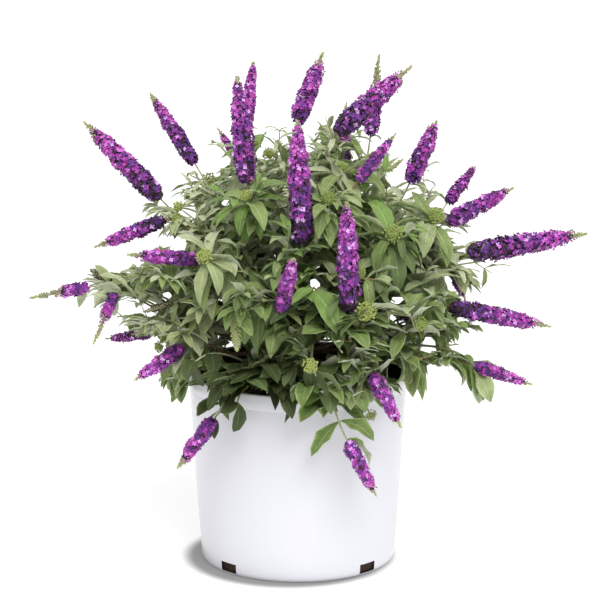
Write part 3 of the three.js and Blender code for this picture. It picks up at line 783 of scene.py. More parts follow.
MASSES = SINGLE_MASSES + PAIRED_MASSES + turned_masses()
AXES = direction(np.array([mass[1] for mass in MASSES]), np.array([mass[2] for mass in MASSES]))
print(len(MASSES), "masses with", sum(len(mass[4]) for mass in MASSES), "flower heads")

# %% Boughs and stems
STEM = {"share": 0.64, "first_fork": 0.2, "base": 2.5 * MM, "tip": 1.3 * MM}
CROWN_HALVES = np.array([244.0, 238.0, 192.0]) * MM
CROWN_LIFT = 88.0 * MM


def crown_reach(heading):
    """Where the line from the heart leaves an ellipsoid: the larger root of a quadratic."""
    line = heading / CROWN_HALVES
    lift = CROWN_LIFT / CROWN_HALVES[2]
    a = np.sum(line**2, axis=-1)
    b = -2 * line[..., 2] * lift
    return (-b + np.sqrt(b * b - 4 * a * (lift * lift - 1))) / (2 * a)


def bough_and_stem(azimuth, elevation):
    """Two curves from the heart: the bough, steeper at first, and the stem that goes on along its end."""
    raised = max(elevation, LOW_BOUGH_ELEVATION)
    toward, steeper = direction(azimuth, raised), direction(azimuth, raised + BOUGH["arch"])
    bough = np.stack([steeper * BOUGH["start"], steeper * BOUGH["reach"] / 2, toward * BOUGH["reach"]])
    along = unit(bough[2] - bough[1])
    end = toward * crown_reach(toward) * STEM["share"]
    middle = bough[2] + along * np.linalg.norm(end - bough[2]) / 2
    return bough, np.stack([bough[2], middle, end])


BOUGH_RINGS, BOUGH_SIDES = 16, 14
BOUGH_NODES = [(0.45, 0.5), (0.8, 0.4)]  # share of the length, and the swelling there in millimetres
NODE_WIDTH = 0.05
COLLAR = {"swelling": 1.3, "fade": 0.08}
bough_ends, stem_ends = (
    np.stack(curves) for curves in zip(*(bough_and_stem(mass[1], mass[2]) for mass in MASSES))
)


def bough_radii():
    """Taper, with a swelling at the collar and at two nodes, and the stringy ridges of the bark."""
    share = np.linspace(0, 1, BOUGH_RINGS)
    taper = BOUGH["base"] + (BOUGH["tip"] - BOUGH["base"]) * share
    swelling = sum(height * np.exp(-((share - at) / NODE_WIDTH) ** 2) for at, height in BOUGH_NODES)
    collar = COLLAR["swelling"] * np.exp(-share / COLLAR["fade"])
    ridges = stringy(full_turn(BOUGH_SIDES)[None, :], share[:, None], BOUGH_STRANDS, bark_numbers)
    return (taper + (swelling + collar) * MM)[:, None] * (0.88 + 0.2 * ridges)


bough_tube = tube_points(bough_ends, np.linspace(0, 1, BOUGH_RINGS), bough_radii()[None], BOUGH_SIDES)
bough_faces = tube_faces(len(MASSES), BOUGH_RINGS, BOUGH_SIDES)
boughs = new_piece("bark_boughs", bough_tube.reshape(-1, 3) + HEART, bough_faces, [bark])
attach(boughs, "root")
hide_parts(*(f"bough_{mass[0]}" for mass in MASSES))

# %% Where the shoots end
SHOOT_BENDS = [0.45, 0.6, 0.8, 1, 0.3, 0.15, 0.03]
LOWEST_END = -13
CLOSING_IN = np.array([1, 0.75, 0.5, 0.25])  # shares of the tilt from the axis, in the order they are tried
FILLER = {"tilt": 19, "outer": 0.84, "inner": 0.62, "reach": 0.14, "nod": 25}
# finer shoots between those of the solids: wider spread, and of every length
FINE = {"tilt": 25, "outer": 0.74, "inner": 0.5, "reach": 0.2, "nod": 40}
FINE_SHOOTS = 4
FINE_SEED = 6100
HANGS = ("hanging", 0, 0)
# Shoots that only show here. Each has the azimuth, elevation and distance of its end, the azimuth and pitch
# of its heading, and what it bears: a kind, with a dome's radius or a spike's length and width.
BUD_SHOOTS = {
    "front": [
        (-53, 45, 262, -62, 40, ("dome", 10, 0)), (-69, 25, 246, -74, 40, ("dome", 10, 0)),
        (-86, 11, 222, -90, 20, ("dome", 7.5, 0)), (-110, 23.5, 237, -80, -70, ("green", 36, 13)),
    ],
    "top": [(180, 70, 286, 170, 45, HANGS)],
    "right": [(-25, 46, 264, -50, 50, ("dome", 9, 0)), (-15, 30, 268, -20, 10, HANGS)],
    "front_high": [
        (-53, 70, 264, -60, 75, ("dome", 7, 0)), (-75, 58, 264, -80, 60, ("dome", 8, 0)),
        (-117, 59, 262, -120, 60, ("dome", 6.5, 0)),
    ],
    "front_left_high": [
        (-123, 39, 259, -115, 40, ("dome", 8, 0)), (-143, 26, 216, -150, -9, ("seed", 38, 9)),
    ],
    "front_low_left": [
        (-104, 4, 166, -100, -30, HANGS), (-128, 8, 208, -126, -35, HANGS), (-111, 4, 194, -108, -45, HANGS),
        (-114, -7, 184, -100, -50, HANGS), (-103, -2, 166, -100, -40, HANGS), (-96, -3, 170, -92, -40, HANGS),
    ],
    "front_low_right": [(-80, 3, 167, -84, -30, HANGS)],
    "front_right": [
        (-50, 20, 238, -52, 30, ("dome", 8, 0)), (-48, 9, 192, -50, -40, HANGS),
        (-38, 25, 249, -40, 10, HANGS), (-22, -2, 243, -35, -75, HANGS),
    ],
    "front_left": [(-146, 5, 178, -140, -30, HANGS)],
    "left": [(-175, 23, 258, 170, 30, ("seed", 26, 13))],
    "high_left": [
        (-172, 47, 262, -170, 10, HANGS), (-167, 59, 252, -172, 15, HANGS), (-163, 52, 252, -172, 0, HANGS),
    ],
    "high_right": [(-28, 63, 280, -10, 40, ("green", 22, 7)), (-27, 77, 303, -40, 40, HANGS)],
    "back": [(81, 16, 262, 80, 10, HANGS)],
}
GOLDEN_ANGLE = 137.5
POT_MARGIN = 0.6 * MM
TWIG_MARGIN = 1.5 * MM
CURVE_SAMPLES = np.linspace(0.08, 1, 12)
# The crown's underside, from the heart: its height in front of the pot, how much lower it is beside the pot,
# and from which distance on and how steeply it rises outward.
UNDERSIDE = {"front": -35.0 * MM, "side_drop": 22.0 * MM, "flank": 168.0 * MM, "slope": 1.7}


def underside(points):
    """The lowest height of foliage over each point: lower beside the pot, and rising along the flank."""
    level = np.hypot(points[..., 0], points[..., 1])
    aside = (points[..., 0] / np.maximum(level, MM)) ** 2
    rise = UNDERSIDE["slope"] * np.maximum(level - UNDERSIDE["flank"], 0)
    return UNDERSIDE["front"] - UNDERSIDE["side_drop"] * aside + rise


print(sum(len(rows) for rows in BUD_SHOOTS.values()), "shoots by table, for the front and what has no model")

# %% Openings in the crown
# Openings that look right through the crown and gaps at its edge, in millimetres of the front view from its
# middle: across, up, half width, half height.
OPENINGS = [
    (-107, 172, 16, 6), (120, 153, 9, 9), (-158, 122, 13, 6), (-186, -10, 9, 10), (-153, 68, 9, 8),
    (-115, 153, 7, 9), (-139, 110, 9, 6), (-218, -8, 9, 6), (-207, 105, 10, 7), (-182, 65, 7, 6),
    (-115, 187, 8, 5), (64, 182, 6, 7), (-93, 205, 5, 8), (-197, 63, 5, 5), (5, 201, 7, 4), (191, 21, 6, 6),
    (-167, 5, 4, 5), (-169, 72, 5, 5), (-1, 218, 5, 4), (-94, 122, 4, 3), (-99, -4, 5, 3), (-31, 58, 4, 4),
    (174, 122, 6, 4), (8, 188, 4, 4), (163, -51, 6, 4), (133, -60, 5, 3), (-105, 21, 3, 4), (134, 131, 5, 3),
    (117, -25, 4, 4), (-159, -36, 3, 4), (208, 46, 4, 4), (105, -65, 3, 4), (-228, 48, 25, 11),
    (-228, -43, 14, 11), (-198, -65, 30, 18), (-231, -98, 48, 28), (223, -3, 23, 9), (213, -48, 11, 6),
    (180, -96, 18, 11), (186, -118, 14, 24), (138, -130, 10, 7), (160, -61, 8, 4), (-188, -120, 15, 23),
    (-261, -40, 15, 23), (118, -89, 8, 9), (-56, -122, 25, 9), (-131, -115, 13, 5), (-43, 187, 10, 10),
    (-80, -70, 11, 8), (30, -59, 15, 8), (123, -1, 10, 4), (117, -23, 4, 6), (131, -26, 8, 5),
    (161, 66, 8, 2), (25, 39, 4, 4), (18, 21, 6, 4), (31, 5, 5, 4), (8, 55, 3, 5), (205, -61, 15, 5),
    (167, -108, 6, 18),
]
# gaps at the crown's edge that only leaves keep out of, so a twig there is bare
LEAF_GAPS = [(257, 22, 19, 16), (240, -67, 17, 7), (32, 240, 13, 13), (52, 222, 5, 10), (230, 120, 10, 7)]
OPENING_RIM = {"depth": 0.2, "lobes": (3, 5)}  # the rims wave in and out by this share, in so many lobes
SPIKE_CLEAR = 0.9  # share of a spike's radius that no leaf hides
SPIKE_PART = np.array([[0.02], [0.85]])  # from where to where along it


def toward_front(points):
    """How far points given from the heart lie toward the front viewer."""
    from_aim = points + (HEART - np.array(AIM))
    return from_aim[..., 2] * math.sin(VIEW_ELEVATION) - from_aim[..., 1] * math.cos(VIEW_ELEVATION)


def front_view(points):
    """Across and up in the front view, from its middle, of points given from the heart.

    Each is the distance along the picture's own axis, times the camera's distance over what is left of it.
    """
    from_aim = points + (HEART - np.array(AIM))
    up = from_aim[..., 2] * math.cos(VIEW_ELEVATION) + from_aim[..., 1] * math.sin(VIEW_ELEVATION)
    nearer = VIEW_DISTANCE / (VIEW_DISTANCE - toward_front(points))
    return np.stack([from_aim[..., 0], up], axis=-1) * nearer[..., None]


def open_to_light(points, openings=OPENINGS):
    """True outside every opening: the distance over its half sizes is more than one and the waving rim."""
    seen = front_view(points)
    clear = np.ones(seen.shape[:-1], bool)
    for across, up, half_width, half_height in openings:
        gap = (seen[..., 0] - across * MM) / (half_width * MM), (seen[..., 1] - up * MM) / (half_height * MM)
        around = np.arctan2(gap[1], gap[0])
        waves = sum(np.sin(lobes * around + lobes * across) for lobes in OPENING_RIM["lobes"])
        clear &= np.hypot(*gap) > 1 + OPENING_RIM["depth"] * waves / 2
    return clear


def spike_lines():
    """For each spike of the front half: foot and tip in the front view, nearness to the front, and radius."""
    lines = []
    for name, _, _, _, heads in MASSES:
        for at, rise, distance, heading, pitch, length, width in heads:
            if name not in TURNED_NAMES:
                foot = direction(at, rise) * distance * MM
                both = foot + direction(heading, pitch) * length * MM * SPIKE_PART
                lines.append((*front_view(both), toward_front(both).min(), width / 2 * MM * SPIKE_CLEAR))
    return lines


SPIKE_LINES = spike_lines()


def off_the_spikes(points):
    """True for points that don't stand in front of a flower spike.

    In the front view a point's distance from a spike is taken from the nearest place on the line foot to tip.
    """
    seen, near = front_view(points), toward_front(points)
    clear = np.ones(near.shape, bool)
    for foot, tip, depth, radius in SPIKE_LINES:
        line = tip - foot
        share = np.clip((seen - foot) @ line / (line @ line), 0, 1)
        clear &= (np.linalg.norm(seen - foot - share[..., None] * line, axis=-1) > radius) | (near < depth)
    return clear


print(len(OPENINGS) + len(LEAF_GAPS), "openings, and", len(SPIKE_LINES), "spikes kept free of leaves")

# %% Shoots


def leafy_ends(azimuth, elevation, count, rule, random):
    """Ends spread about the axis by the golden angle; each has choices that close in toward the axis."""
    ends = []
    spin = 360 * next(random)
    for i in range(count):
        tilt = rule["tilt"] * math.sqrt((i + 0.6) / count)
        around = math.radians(spin + GOLDEN_ANGLE * i)
        share = (rule["inner"] if i % 2 else rule["outer"]) + rule["reach"] * next(random)
        nod = rule["nod"] * next(random)
        raised = np.maximum(elevation + CLOSING_IN * tilt * math.sin(around), LOWEST_END)
        level = azimuth + CLOSING_IN * tilt * math.cos(around) / math.cos(math.radians(elevation))
        toward = direction(level, raised)
        feet = toward * (crown_reach(toward) * share)[:, None]
        ends.append(list(zip(feet, direction(level, raised - nod))))
    return ends


def planes_of(index):
    """The unit normals of the planes that part one mass from each of the others."""
    return unit(AXES[index] - np.delete(AXES, index, axis=0))


def clear_of_pot(points, margin=POT_MARGIN):
    """True above the rim or outside the drum that widens with the pot. Points are given from the heart."""
    height = points[..., 2] + HEART[2]
    drum = BASE_RADIUS + (RIM_RADIUS - BASE_RADIUS) * np.clip(height / POT_HEIGHT, 0, 1)
    level = np.hypot(points[..., 0], points[..., 1])
    return (height > POT_HEIGHT + margin) | (level > drum + margin)


def fits(points, planes, margin):
    """True where all of a row's points lie in the mass's cone, by margin or more, and clear of the pot."""
    return ((points @ planes.T >= margin).all(axis=-1) & clear_of_pot(points)).all(axis=-1)


def model_of(name):
    """The front mass that a turned mass follows; any other mass is its own model."""
    return PAIRED_MASSES[TURNED_NAMES.index(name)][0] if name in TURNED_NAMES else name


def bud_shoots(name):
    """The extra shoots of a mass: its own, and for a turned mass those of its model, half round the trunk."""
    own = BUD_SHOOTS.get(name, [])
    if name in TURNED_NAMES:
        model = BUD_SHOOTS.get(model_of(name), [])
        own = [(at + 180, rise, reach, az + 180, *rest) for at, rise, reach, az, *rest in model] + own
    return own


def only_end(row):
    """The one place and heading of a shoot in a table, as its only choice."""
    at, rise, distance, heading, pitch, *_ = row
    return [(direction(at, rise) * distance * MM, direction(heading, pitch))]


def shoot_curves(index):
    """The shoots of one mass: curve, heading, kind, and size. The first bend and end that fit win."""
    name, azimuth, elevation, fillers, heads = MASSES[index]
    bearing = [only_end(head) for head in heads]
    leafy = leafy_ends(azimuth, elevation, fillers, FILLER, seeded(CROWN_SEED + index))
    fine = leafy_ends(azimuth, elevation, FINE_SHOOTS, FINE, seeded(FINE_SEED + index))
    extra = bud_shoots(name)
    loads = [("flower", *head[5:]) for head in heads] + [("leafy", 0, 0)] * len(leafy)
    loads += [("fine", 0, 0)] * len(fine) + [shoot[5] for shoot in extra]
    planes = planes_of(index)
    main = len(bearing) + len(leafy)
    shoots = []
    for number, choices in enumerate(bearing + leafy + fine + [only_end(shoot) for shoot in extra]):
        kind, length, width = loads[number]
        may_miss = kind in ("leafy", "fine")
        place = number / main if number < main else (number - main + 0.5) / (FINE_SHOOTS + len(extra))
        fork = STEM["first_fork"] + (1 - STEM["first_fork"]) * place
        root = curve_points(stem_ends[index], [fork])[0]
        for foot, heading in choices:
            reach = np.linalg.norm(foot - root)
            ends = np.stack([[root, foot - heading * reach * bend, foot] for bend in SHOOT_BENDS])
            samples = curve_points(ends, CURVE_SAMPLES)
            good = fits(samples, planes, TWIG_MARGIN)
            if may_miss:
                good &= ((samples[..., 2] > underside(samples)) & open_to_light(samples)).all(axis=-1)
            if good.any() or not may_miss:
                shoots.append((index, ends[int(np.argmax(good))], heading, kind, length * MM, width * MM))
                break
    return shoots


DOME_SHARE = 0.15  # of the leafy shoots that end in a dome of buds
SHOOTS = [shoot for index in range(len(MASSES)) for shoot in shoot_curves(index)]
shoot_mass = np.array([shoot[0] for shoot in SHOOTS])
shoot_ends = np.stack([shoot[1] for shoot in SHOOTS])
shoot_kind = np.array([shoot[3] for shoot in SHOOTS])
flowering = np.isin(shoot_kind, ["flower", "green", "seed"])
fine_shoot = shoot_kind == "fine"
bold_dome = shoot_kind == "dome"
hanging_shoot = shoot_kind == "hanging"
drawn_dome = np.random.default_rng(58).random(len(SHOOTS)) < DOME_SHARE
domed = bold_dome | ~flowering & ~hanging_shoot & drawn_dome
shoot_length = np.linalg.norm(np.diff(curve_points(shoot_ends, np.linspace(0, 1, 24)), axis=1), axis=2).sum(1)
print(len(SHOOTS), "shoots,", int(flowering.sum()), "of them in flower")

# %% [markdown]
# ## Twigs
#
# Stems are woody and brown. Young shoots are green under grey felt, and some ripen to a red brown, so each
# shoot takes one of three finishes. Short side twigs grow from about half of the leaf axils. All of them are
# tubes with a slight swelling where leaves sit, joined by kind.

# %% Leaf places
PAIR_SPACING = 27.0 * MM
FIRST_PAIR = 30.0 * MM
LAST_PAIR = 8.0 * MM
FIRST_SHARE = 0.33
leaf_numbers = np.random.default_rng(9200)


def pair_shares(length):
    """Shares of a shoot's length: the first pair at most a third out, the last just short of the end."""
    first = min(FIRST_PAIR, length * FIRST_SHARE)
    room = length - LAST_PAIR - first
    pairs = max(2, 1 + round(room / PAIR_SPACING))
    return (first + room * np.arange(pairs) / (pairs - 1)) / length


def turned(vectors, axes, degrees):
    """Vectors square to their axes, turned about them: cosine * vector + sine * (axis x vector)."""
    angle = np.radians(degrees)[..., None]
    return vectors * np.cos(angle) + np.cross(axes, vectors) * np.sin(angle)


def shoot_axils():
    """For every leaf on a shoot: shoot, share, place, heading there, side it grows to, pair from the end."""
    rows = []
    for number in range(len(SHOOTS)):
        shares = pair_shares(shoot_length[number])
        places = curve_points(shoot_ends[number], shares)
        headings = curve_headings(shoot_ends[number], shares)
        level = unit(np.cross(UP, headings))
        spin = 90 * leaf_numbers.random()
        from_end = len(shares) - 1 - np.arange(len(shares))
        for half in (0, 180):
            side = turned(level, headings, spin + 90 * np.arange(len(shares)) + half)
            rows.append((np.full(len(shares), number), shares, places, headings, side, from_end))
    return [np.concatenate(column) for column in zip(*rows)]


axil_shoot, axil_share, axil_place, axil_heading, axil_side, axil_from_end = shoot_axils()
print(len(axil_place), "places for a leaf on the shoots")

# %% Side twigs
SIDE_TWIG_CHANCE = 0.5
SIDE_TWIG_LENGTH = (22.0 * MM, 62.0 * MM)
TWIG_SHORTENED = 0.4  # share of the length lost by a twig at the end of its shoot
TWIG_LEAVING = 0.8
TWIG_LIFT = 0.9
TWIG_OVERREACH = 4 * MM  # a side twig may pass the side of its cone by this much


def side_twigs():
    """Curves out of some axils: off to the side and forward, then lifting toward the light."""
    chance = leaf_numbers.random(len(axil_place))
    bare = flowering[axil_shoot] & (axil_from_end < 2)
    chosen = np.flatnonzero((chance < SIDE_TWIG_CHANCE) & ~bare)
    length = leaf_numbers.uniform(*SIDE_TWIG_LENGTH, len(chosen)) * (1 - TWIG_SHORTENED * axil_share[chosen])
    leaving = unit(axil_side[chosen] * TWIG_LEAVING + axil_heading[chosen] * TWIG_LEAVING)
    arriving = unit(leaving + UP * leaf_numbers.uniform(0, TWIG_LIFT, len(chosen))[:, None])
    start = axil_place[chosen]
    middle = start + leaving * length[:, None] / 2
    ends = np.stack([start, middle, middle + arriving * length[:, None] / 2], axis=1)
    points = curve_points(ends, np.linspace(0.2, 1, 6))
    good = np.zeros(len(chosen), bool)
    for index in range(len(MASSES)):
        here = shoot_mass[axil_shoot[chosen]] == index
        good[here] = fits(points[here], planes_of(index), -TWIG_OVERREACH)
    good &= ((points[..., 2] > underside(points)) & open_to_light(points)).all(axis=-1)
    return ends[good], axil_shoot[chosen][good]


twig_ends, twig_shoot = side_twigs()
print(len(twig_ends), "side twigs")

# %% Twig meshes
stem_finish = plain_finish("woody_stem", (128, 102, 76), 0.85, mottle=(150.0, 0.25), relief=(900.0, 0.0006))
shoot_finishes = [
    plain_finish(name, colour, roughness, mottle=(90.0, 0.2), relief=(1200.0, 0.0003))
    for name, colour, roughness in [
        ("green_shoot", (150, 160, 116), 0.7), ("ripening_shoot", (154, 130, 92), 0.7),
        ("pale_shoot", (178, 182, 148), 0.75),
    ]
]
SHOOT_SHARES = [0.5, 0.25, 0.25]
SWELLING = 0.14


def join_tubes(name, ends, base, tip, rings, sides, finishes, tint, nodes=3.0):
    """Tapered tubes along many curves as one piece; the radius swells a little at evenly spaced nodes."""
    share = np.linspace(0, 1, rings)
    base, tip = np.broadcast_to(base, len(ends)), np.broadcast_to(tip, len(ends))
    taper = base[:, None] + (tip - base)[:, None] * share
    radii = taper * (1 + SWELLING * np.abs(np.sin(np.pi * nodes * share)) ** 6)
    points = tube_points(ends, share, radii[..., None], sides).reshape(-1, 3) + HEART
    index = np.concatenate([np.repeat(tint, (rings - 1) * sides), tint, tint])
    piece = new_piece(name, points, tube_faces(len(ends), rings, sides), finishes, index)
    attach(piece, "root")
    return piece


stem_tint = np.zeros(len(MASSES), int)
stems = join_tubes("woody_stems", stem_ends, STEM["base"], STEM["tip"], 16, 9, [stem_finish], stem_tint)
shoot_tint = leaf_numbers.choice(3, len(SHOOTS), p=SHOOT_SHARES)
shoot_base = np.where(fine_shoot, 1.3, 1.7) * MM
shoots = join_tubes("leafy_shoots", shoot_ends, shoot_base, MM, 18, 6, shoot_finishes, shoot_tint, nodes=5.0)
twig_tint = shoot_tint[twig_shoot]
side_twig_piece = join_tubes("side_twigs", twig_ends, 0.8 * MM, 0.5 * MM, 7, 5, shoot_finishes, twig_tint)

# %% [markdown]
# ## Leaves
#
# A leaf is a narrow blade, broadest a third of the way out, folded a little along its midrib, and arching
# over under its own weight. It is one closed form of eight rows: left margin, midrib, right margin, and a
# second midrib just below, so it has a thickness and a pale underside. All leaves are worked out together.
# A leaf that would reach into the pot or far into another mass is tried again smaller, turned round its
# twig or closed in toward it, and is left out if nothing fits. That is what the solids' leaves do too.

# %% One row of numbers per leaf
# by mass: how large its leaves are, and how much lighter or darker, partly by the mass's own tone and partly
# as painted shade, deepest on the low front left under the crown; a turned mass is like its model
SIZE_OF_MASS = {"high_left": 0.84, "front_left_high": 0.84, "left": 0.84, "front_left": 0.88, "top": 0.9}
TONE_AND_SHADE_OF_MASS = {
    "top": 1.5, "high_left": 2.2, "front_left_high": 1.2, "front_high": 0.8, "right": 1.8, "front_right": 1.3,
    "left": 1.5, "front_left": 1.7, "front_low_left": -1.2, "front": -0.4, "front_low_right": 1.1,
}
# low in the crown, and how much less it is at the top: length in millimetres and share of width
LEAF_LENGTH, LENGTH_LOST = 84, 30
LEAF_BREADTH, BREADTH_LOST = 0.49, 0.25
HANGING_LEAF = {"length": 0.74, "least_width": 0.46}
# the big leaves round a dome: distance back from the shoot's end, and turn about it
SKIRT = [(3 * MM, 90), (4 * MM, 210), (5 * MM, 330), (8 * MM, 30), (9 * MM, 150), (10 * MM, 270)]
SKIRT_LEAF = {"length": 62 * MM, "full_dome": 9 * MM, "least_share": 0.7, "least_width": 0.33}
# on a side twig: share along it, turn about it, share of the full length, spread
SIDE_LEAVES = [(0.55, 0, 0.62, 55), (0.97, 90, 0.5, 40), (0.99, 10, 0.34, 28)]
YOUNG_FROM = 0.98


def by_shoot(table, otherwise):
    """A number for each shoot from a table by mass."""
    return np.array([table.get(model_of(mass[0]), otherwise) for mass in MASSES])[shoot_mass]


leaf_size_of, leaf_tone_and_shade_of = by_shoot(SIZE_OF_MASS, 1.0), by_shoot(TONE_AND_SHADE_OF_MASS, 0.0)


def leaf_measures(places, size, shoot):
    """Length, width share and curl: long, broad and drooping low in the crown, short and narrow high up."""
    count = len(places)
    high = np.clip(places[:, 2] / (CROWN_LIFT + CROWN_HALVES[2]), 0, 1) ** 0.8
    length = (LEAF_LENGTH - LENGTH_LOST * high) * MM * leaf_numbers.uniform(0.76, 1.14, count)
    width = (LEAF_BREADTH - BREADTH_LOST * high) * leaf_numbers.uniform(0.84, 1.16, count)
    length, width = length * size * leaf_size_of[shoot], width * np.sqrt(leaf_size_of[shoot])
    curl = leaf_numbers.uniform(0.3, 1.1, count) + 0.35 * high
    return length, width, curl


def beside(headings):
    """The level side of each heading, also where it points straight up."""
    return unit(np.cross(UP, headings) + 1e-6)


def leaf_table():
    """All leaves: place, twig heading, side, length, width share, spread, curl, shoot, and young or not."""
    last, before_last = axil_from_end == 0, axil_from_end == 1
    bears_flower, bears_dome = flowering[axil_shoot], domed[axil_shoot]
    bears_tuft = ~bears_flower & ~bears_dome
    size = 1 - bears_flower * (0.4 * last + 0.25 * before_last)
    size = size - bears_tuft * (0.3 * last + 0.1 * before_last)
    length, width, curl = leaf_measures(axil_place, size, axil_shoot)
    hangs = hanging_shoot[axil_shoot]
    length = np.where(hangs, length * HANGING_LEAF["length"], length)
    width = np.where(hangs, np.maximum(width, HANGING_LEAF["least_width"]), width)
    spread = leaf_numbers.uniform(48, 68, len(size)) - 14 * (last & bears_tuft) + 8 * (last & bears_dome)
    last = last & ~bears_dome
    rows = [(axil_place, axil_heading, axil_side, length, width, spread, curl, axil_shoot, last)]
    bold = np.flatnonzero(bold_dome)
    for back, turn in SKIRT:
        share = 1 - back / shoot_length[bold]
        places = np.stack([curve_points(shoot_ends[i], [t])[0] for i, t in zip(bold, share)])
        headings = curve_headings(shoot_ends[bold], [1.0])[:, 0]
        side = turned(beside(headings), headings, np.full(len(bold), float(turn)))
        length, width, _ = leaf_measures(places, 1.0, bold)
        dome = np.array([SHOOTS[i][4] for i in bold]) / SKIRT_LEAF["full_dome"]
        least = SKIRT_LEAF["length"] * np.clip(dome, SKIRT_LEAF["least_share"], 1)
        rows.append((
            places, headings, side, np.maximum(length, least), np.maximum(width, SKIRT_LEAF["least_width"]),
            leaf_numbers.uniform(58, 72, len(bold)), leaf_numbers.uniform(1.0, 1.7, len(bold)), bold,
            np.zeros(len(bold), bool),
        ))
    for share, turn, part, angle in SIDE_LEAVES:
        places = curve_points(twig_ends, [share])[:, 0]
        headings = curve_headings(twig_ends, [share])[:, 0]
        spin = leaf_numbers.uniform(0, 60, len(places))
        for half in (0, 180):
            side = turned(beside(headings), headings, spin + turn + half)
            length, width, curl = leaf_measures(places, part, twig_shoot)
            rows.append((
                places, headings, side, length, width, angle + leaf_numbers.uniform(-8, 12, len(places)),
                curl, twig_shoot, np.full(len(places), share > YOUNG_FROM),
            ))
    return [np.concatenate(column) for column in zip(*rows)]


(leaf_place, leaf_heading, leaf_side, leaf_length, leaf_width, leaf_spread, leaf_curl, leaf_shoot,
 leaf_young) = leaf_table()
leaf_fold = leaf_numbers.uniform(0.12, 0.5, len(leaf_place))
leaf_twist = leaf_numbers.normal(0, 0.45, len(leaf_place))
leaf_wave = leaf_numbers.uniform(0, 2 * np.pi, len(leaf_place))
print(len(leaf_place), "leaves to place")

# %% The blade
LEAF_ROWS = np.array([0, 0.07, 0.18, 0.32, 0.48, 0.65, 0.83, 1.0])
BLADE = np.clip((LEAF_ROWS - 0.04) / 0.96, 0, 1) ** 0.75 * (1 - LEAF_ROWS) ** 0.95
BLADE = BLADE / BLADE.max()
LEAF_THICKNESS = 0.5 * MM
MARGIN_WIDTH = 0.45 * MM  # what is left of the half width at the stalk and at the tip
MARGIN_RIPPLE = {"height": 0.13, "waves": 2.2}
OUTWARD_PULL = 0.35  # beside the weight that bends the leaf down


def leaf_blades(place, side, heading, length, spread, width, curl, fold, twist, wave):
    """Points (n, rows, 4, 3): left, midrib, right, under.

    The midrib is an arc that starts outward from the twig and turns down by curl. The margins stand off
    it by the blade's width to both sides, raised by the fold, and rippled by a sine along the leaf.
    """
    angle = np.radians(spread)[:, None]
    outward = side * np.sin(angle) + heading * np.cos(angle)
    level = outward * [1, 1, 0]
    pull = -UP + OUTWARD_PULL * level
    bend = unit(pull - outward * np.sum(pull * outward, axis=1, keepdims=True))
    across = np.cross(outward, bend)
    t = LEAF_ROWS[None, :, None]
    turn = curl[:, None, None] * t
    radius = (length / curl)[:, None, None]
    tangent = outward[:, None] * np.cos(turn) + bend[:, None] * np.sin(turn)
    middle = place[:, None] + radius * (outward[:, None] * np.sin(turn) + bend[:, None] * (1 - np.cos(turn)))
    rolled = twist[:, None, None] * t
    normal = np.cross(tangent, across[:, None])
    left_way = across[:, None] * np.cos(rolled) + normal * np.sin(rolled)
    up_way = normal * np.cos(rolled) - across[:, None] * np.sin(rolled)
    half = (length * width / 2)[:, None, None] * BLADE[None, :, None] + MARGIN_WIDTH
    phase = MARGIN_RIPPLE["waves"] * 2 * np.pi * t + wave[:, None, None]
    ripple = MARGIN_RIPPLE["height"] * half * np.sin(phase)
    rise = half * np.sin(fold)[:, None, None]
    flat = half * np.cos(fold)[:, None, None]
    left = middle + left_way * flat + up_way * (rise + ripple)
    right = middle - left_way * flat + up_way * (rise - ripple)
    return np.stack([left, middle, right, middle - up_way * LEAF_THICKNESS], axis=2)


print("a blade is a form of", 4 * len(LEAF_ROWS), "points")

# %% Leaves that fit
# size, turn about the twig in degrees, and share of the spread, in the order in which they are tried
LEAF_TRIES = [
    (size, nudge, closing)
    for size in (1, 0.82, 0.64)
    for nudge, closing in ((0, 1), (30, 1), (-30, 1), (0, 0.5), (60, 0.6), (-60, 0.6))
]
LEAF_MARGIN = -12.0 * MM
SKIRT_MARGIN = -70.0 * MM
INNER_CROWN, INNER_SHARE = 0.55, 0.55  # nearer the heart than this share of the reach, this share is left
HANGING_SHARE, HANGING_DROP = 0.08, 60.0 * MM  # so many leaves may reach this far below the underside
BLADE_DROP = 44.0 * MM  # a leaf on a flowering shoot may hang this far below its own axil
HANGING_BLADE_DROP = 1.4 * BLADE_DROP


def grown_leaves():
    """The blades of all leaves that fit, each by its first fitting try, and which leaves they are."""
    hanging = HANGING_DROP * (leaf_numbers.random(len(leaf_place)) < HANGING_SHARE)
    drop = np.where(hanging_shoot, HANGING_BLADE_DROP, np.where(flowering, BLADE_DROP, -1.0))[leaf_shoot]
    own = np.where(drop > 0, leaf_place[:, 2] - drop, 1.0)
    blades = np.zeros((len(leaf_place), len(LEAF_ROWS), 4, 3))
    depth = np.linalg.norm(leaf_place, axis=1) / crown_reach(unit(leaf_place))
    waiting = (depth > INNER_CROWN) | (leaf_numbers.random(len(leaf_place)) < INNER_SHARE)
    absent = ~waiting
    margin = np.where(bold_dome[leaf_shoot], SKIRT_MARGIN, LEAF_MARGIN)
    planes = np.stack([planes_of(index) for index in range(len(MASSES))])[shoot_mass[leaf_shoot]]
    gaps = OPENINGS + LEAF_GAPS
    for size, nudge, closing in LEAF_TRIES:
        side = turned(leaf_side, leaf_heading, np.full(len(leaf_side), float(nudge)))
        tried = leaf_blades(
            leaf_place, side, leaf_heading, leaf_length * size, leaf_spread * closing, leaf_width, leaf_curl,
            leaf_fold, leaf_twist, leaf_wave,
        )
        flat = tried.reshape(len(tried), -1, 3)
        inside = (np.einsum("npk,nqk->npq", flat, planes) >= margin[:, None, None]).all(axis=(1, 2))
        lowest = np.minimum(underside(flat) - hanging[:, None], own[:, None])
        free = clear_of_pot(flat) & (flat[:, :, 2] > lowest)
        free = free & open_to_light(flat, gaps) & off_the_spikes(flat)
        good = waiting & inside & free.all(axis=1)
        blades[good] = tried[good]
        waiting &= ~good
    return blades, ~waiting & ~absent


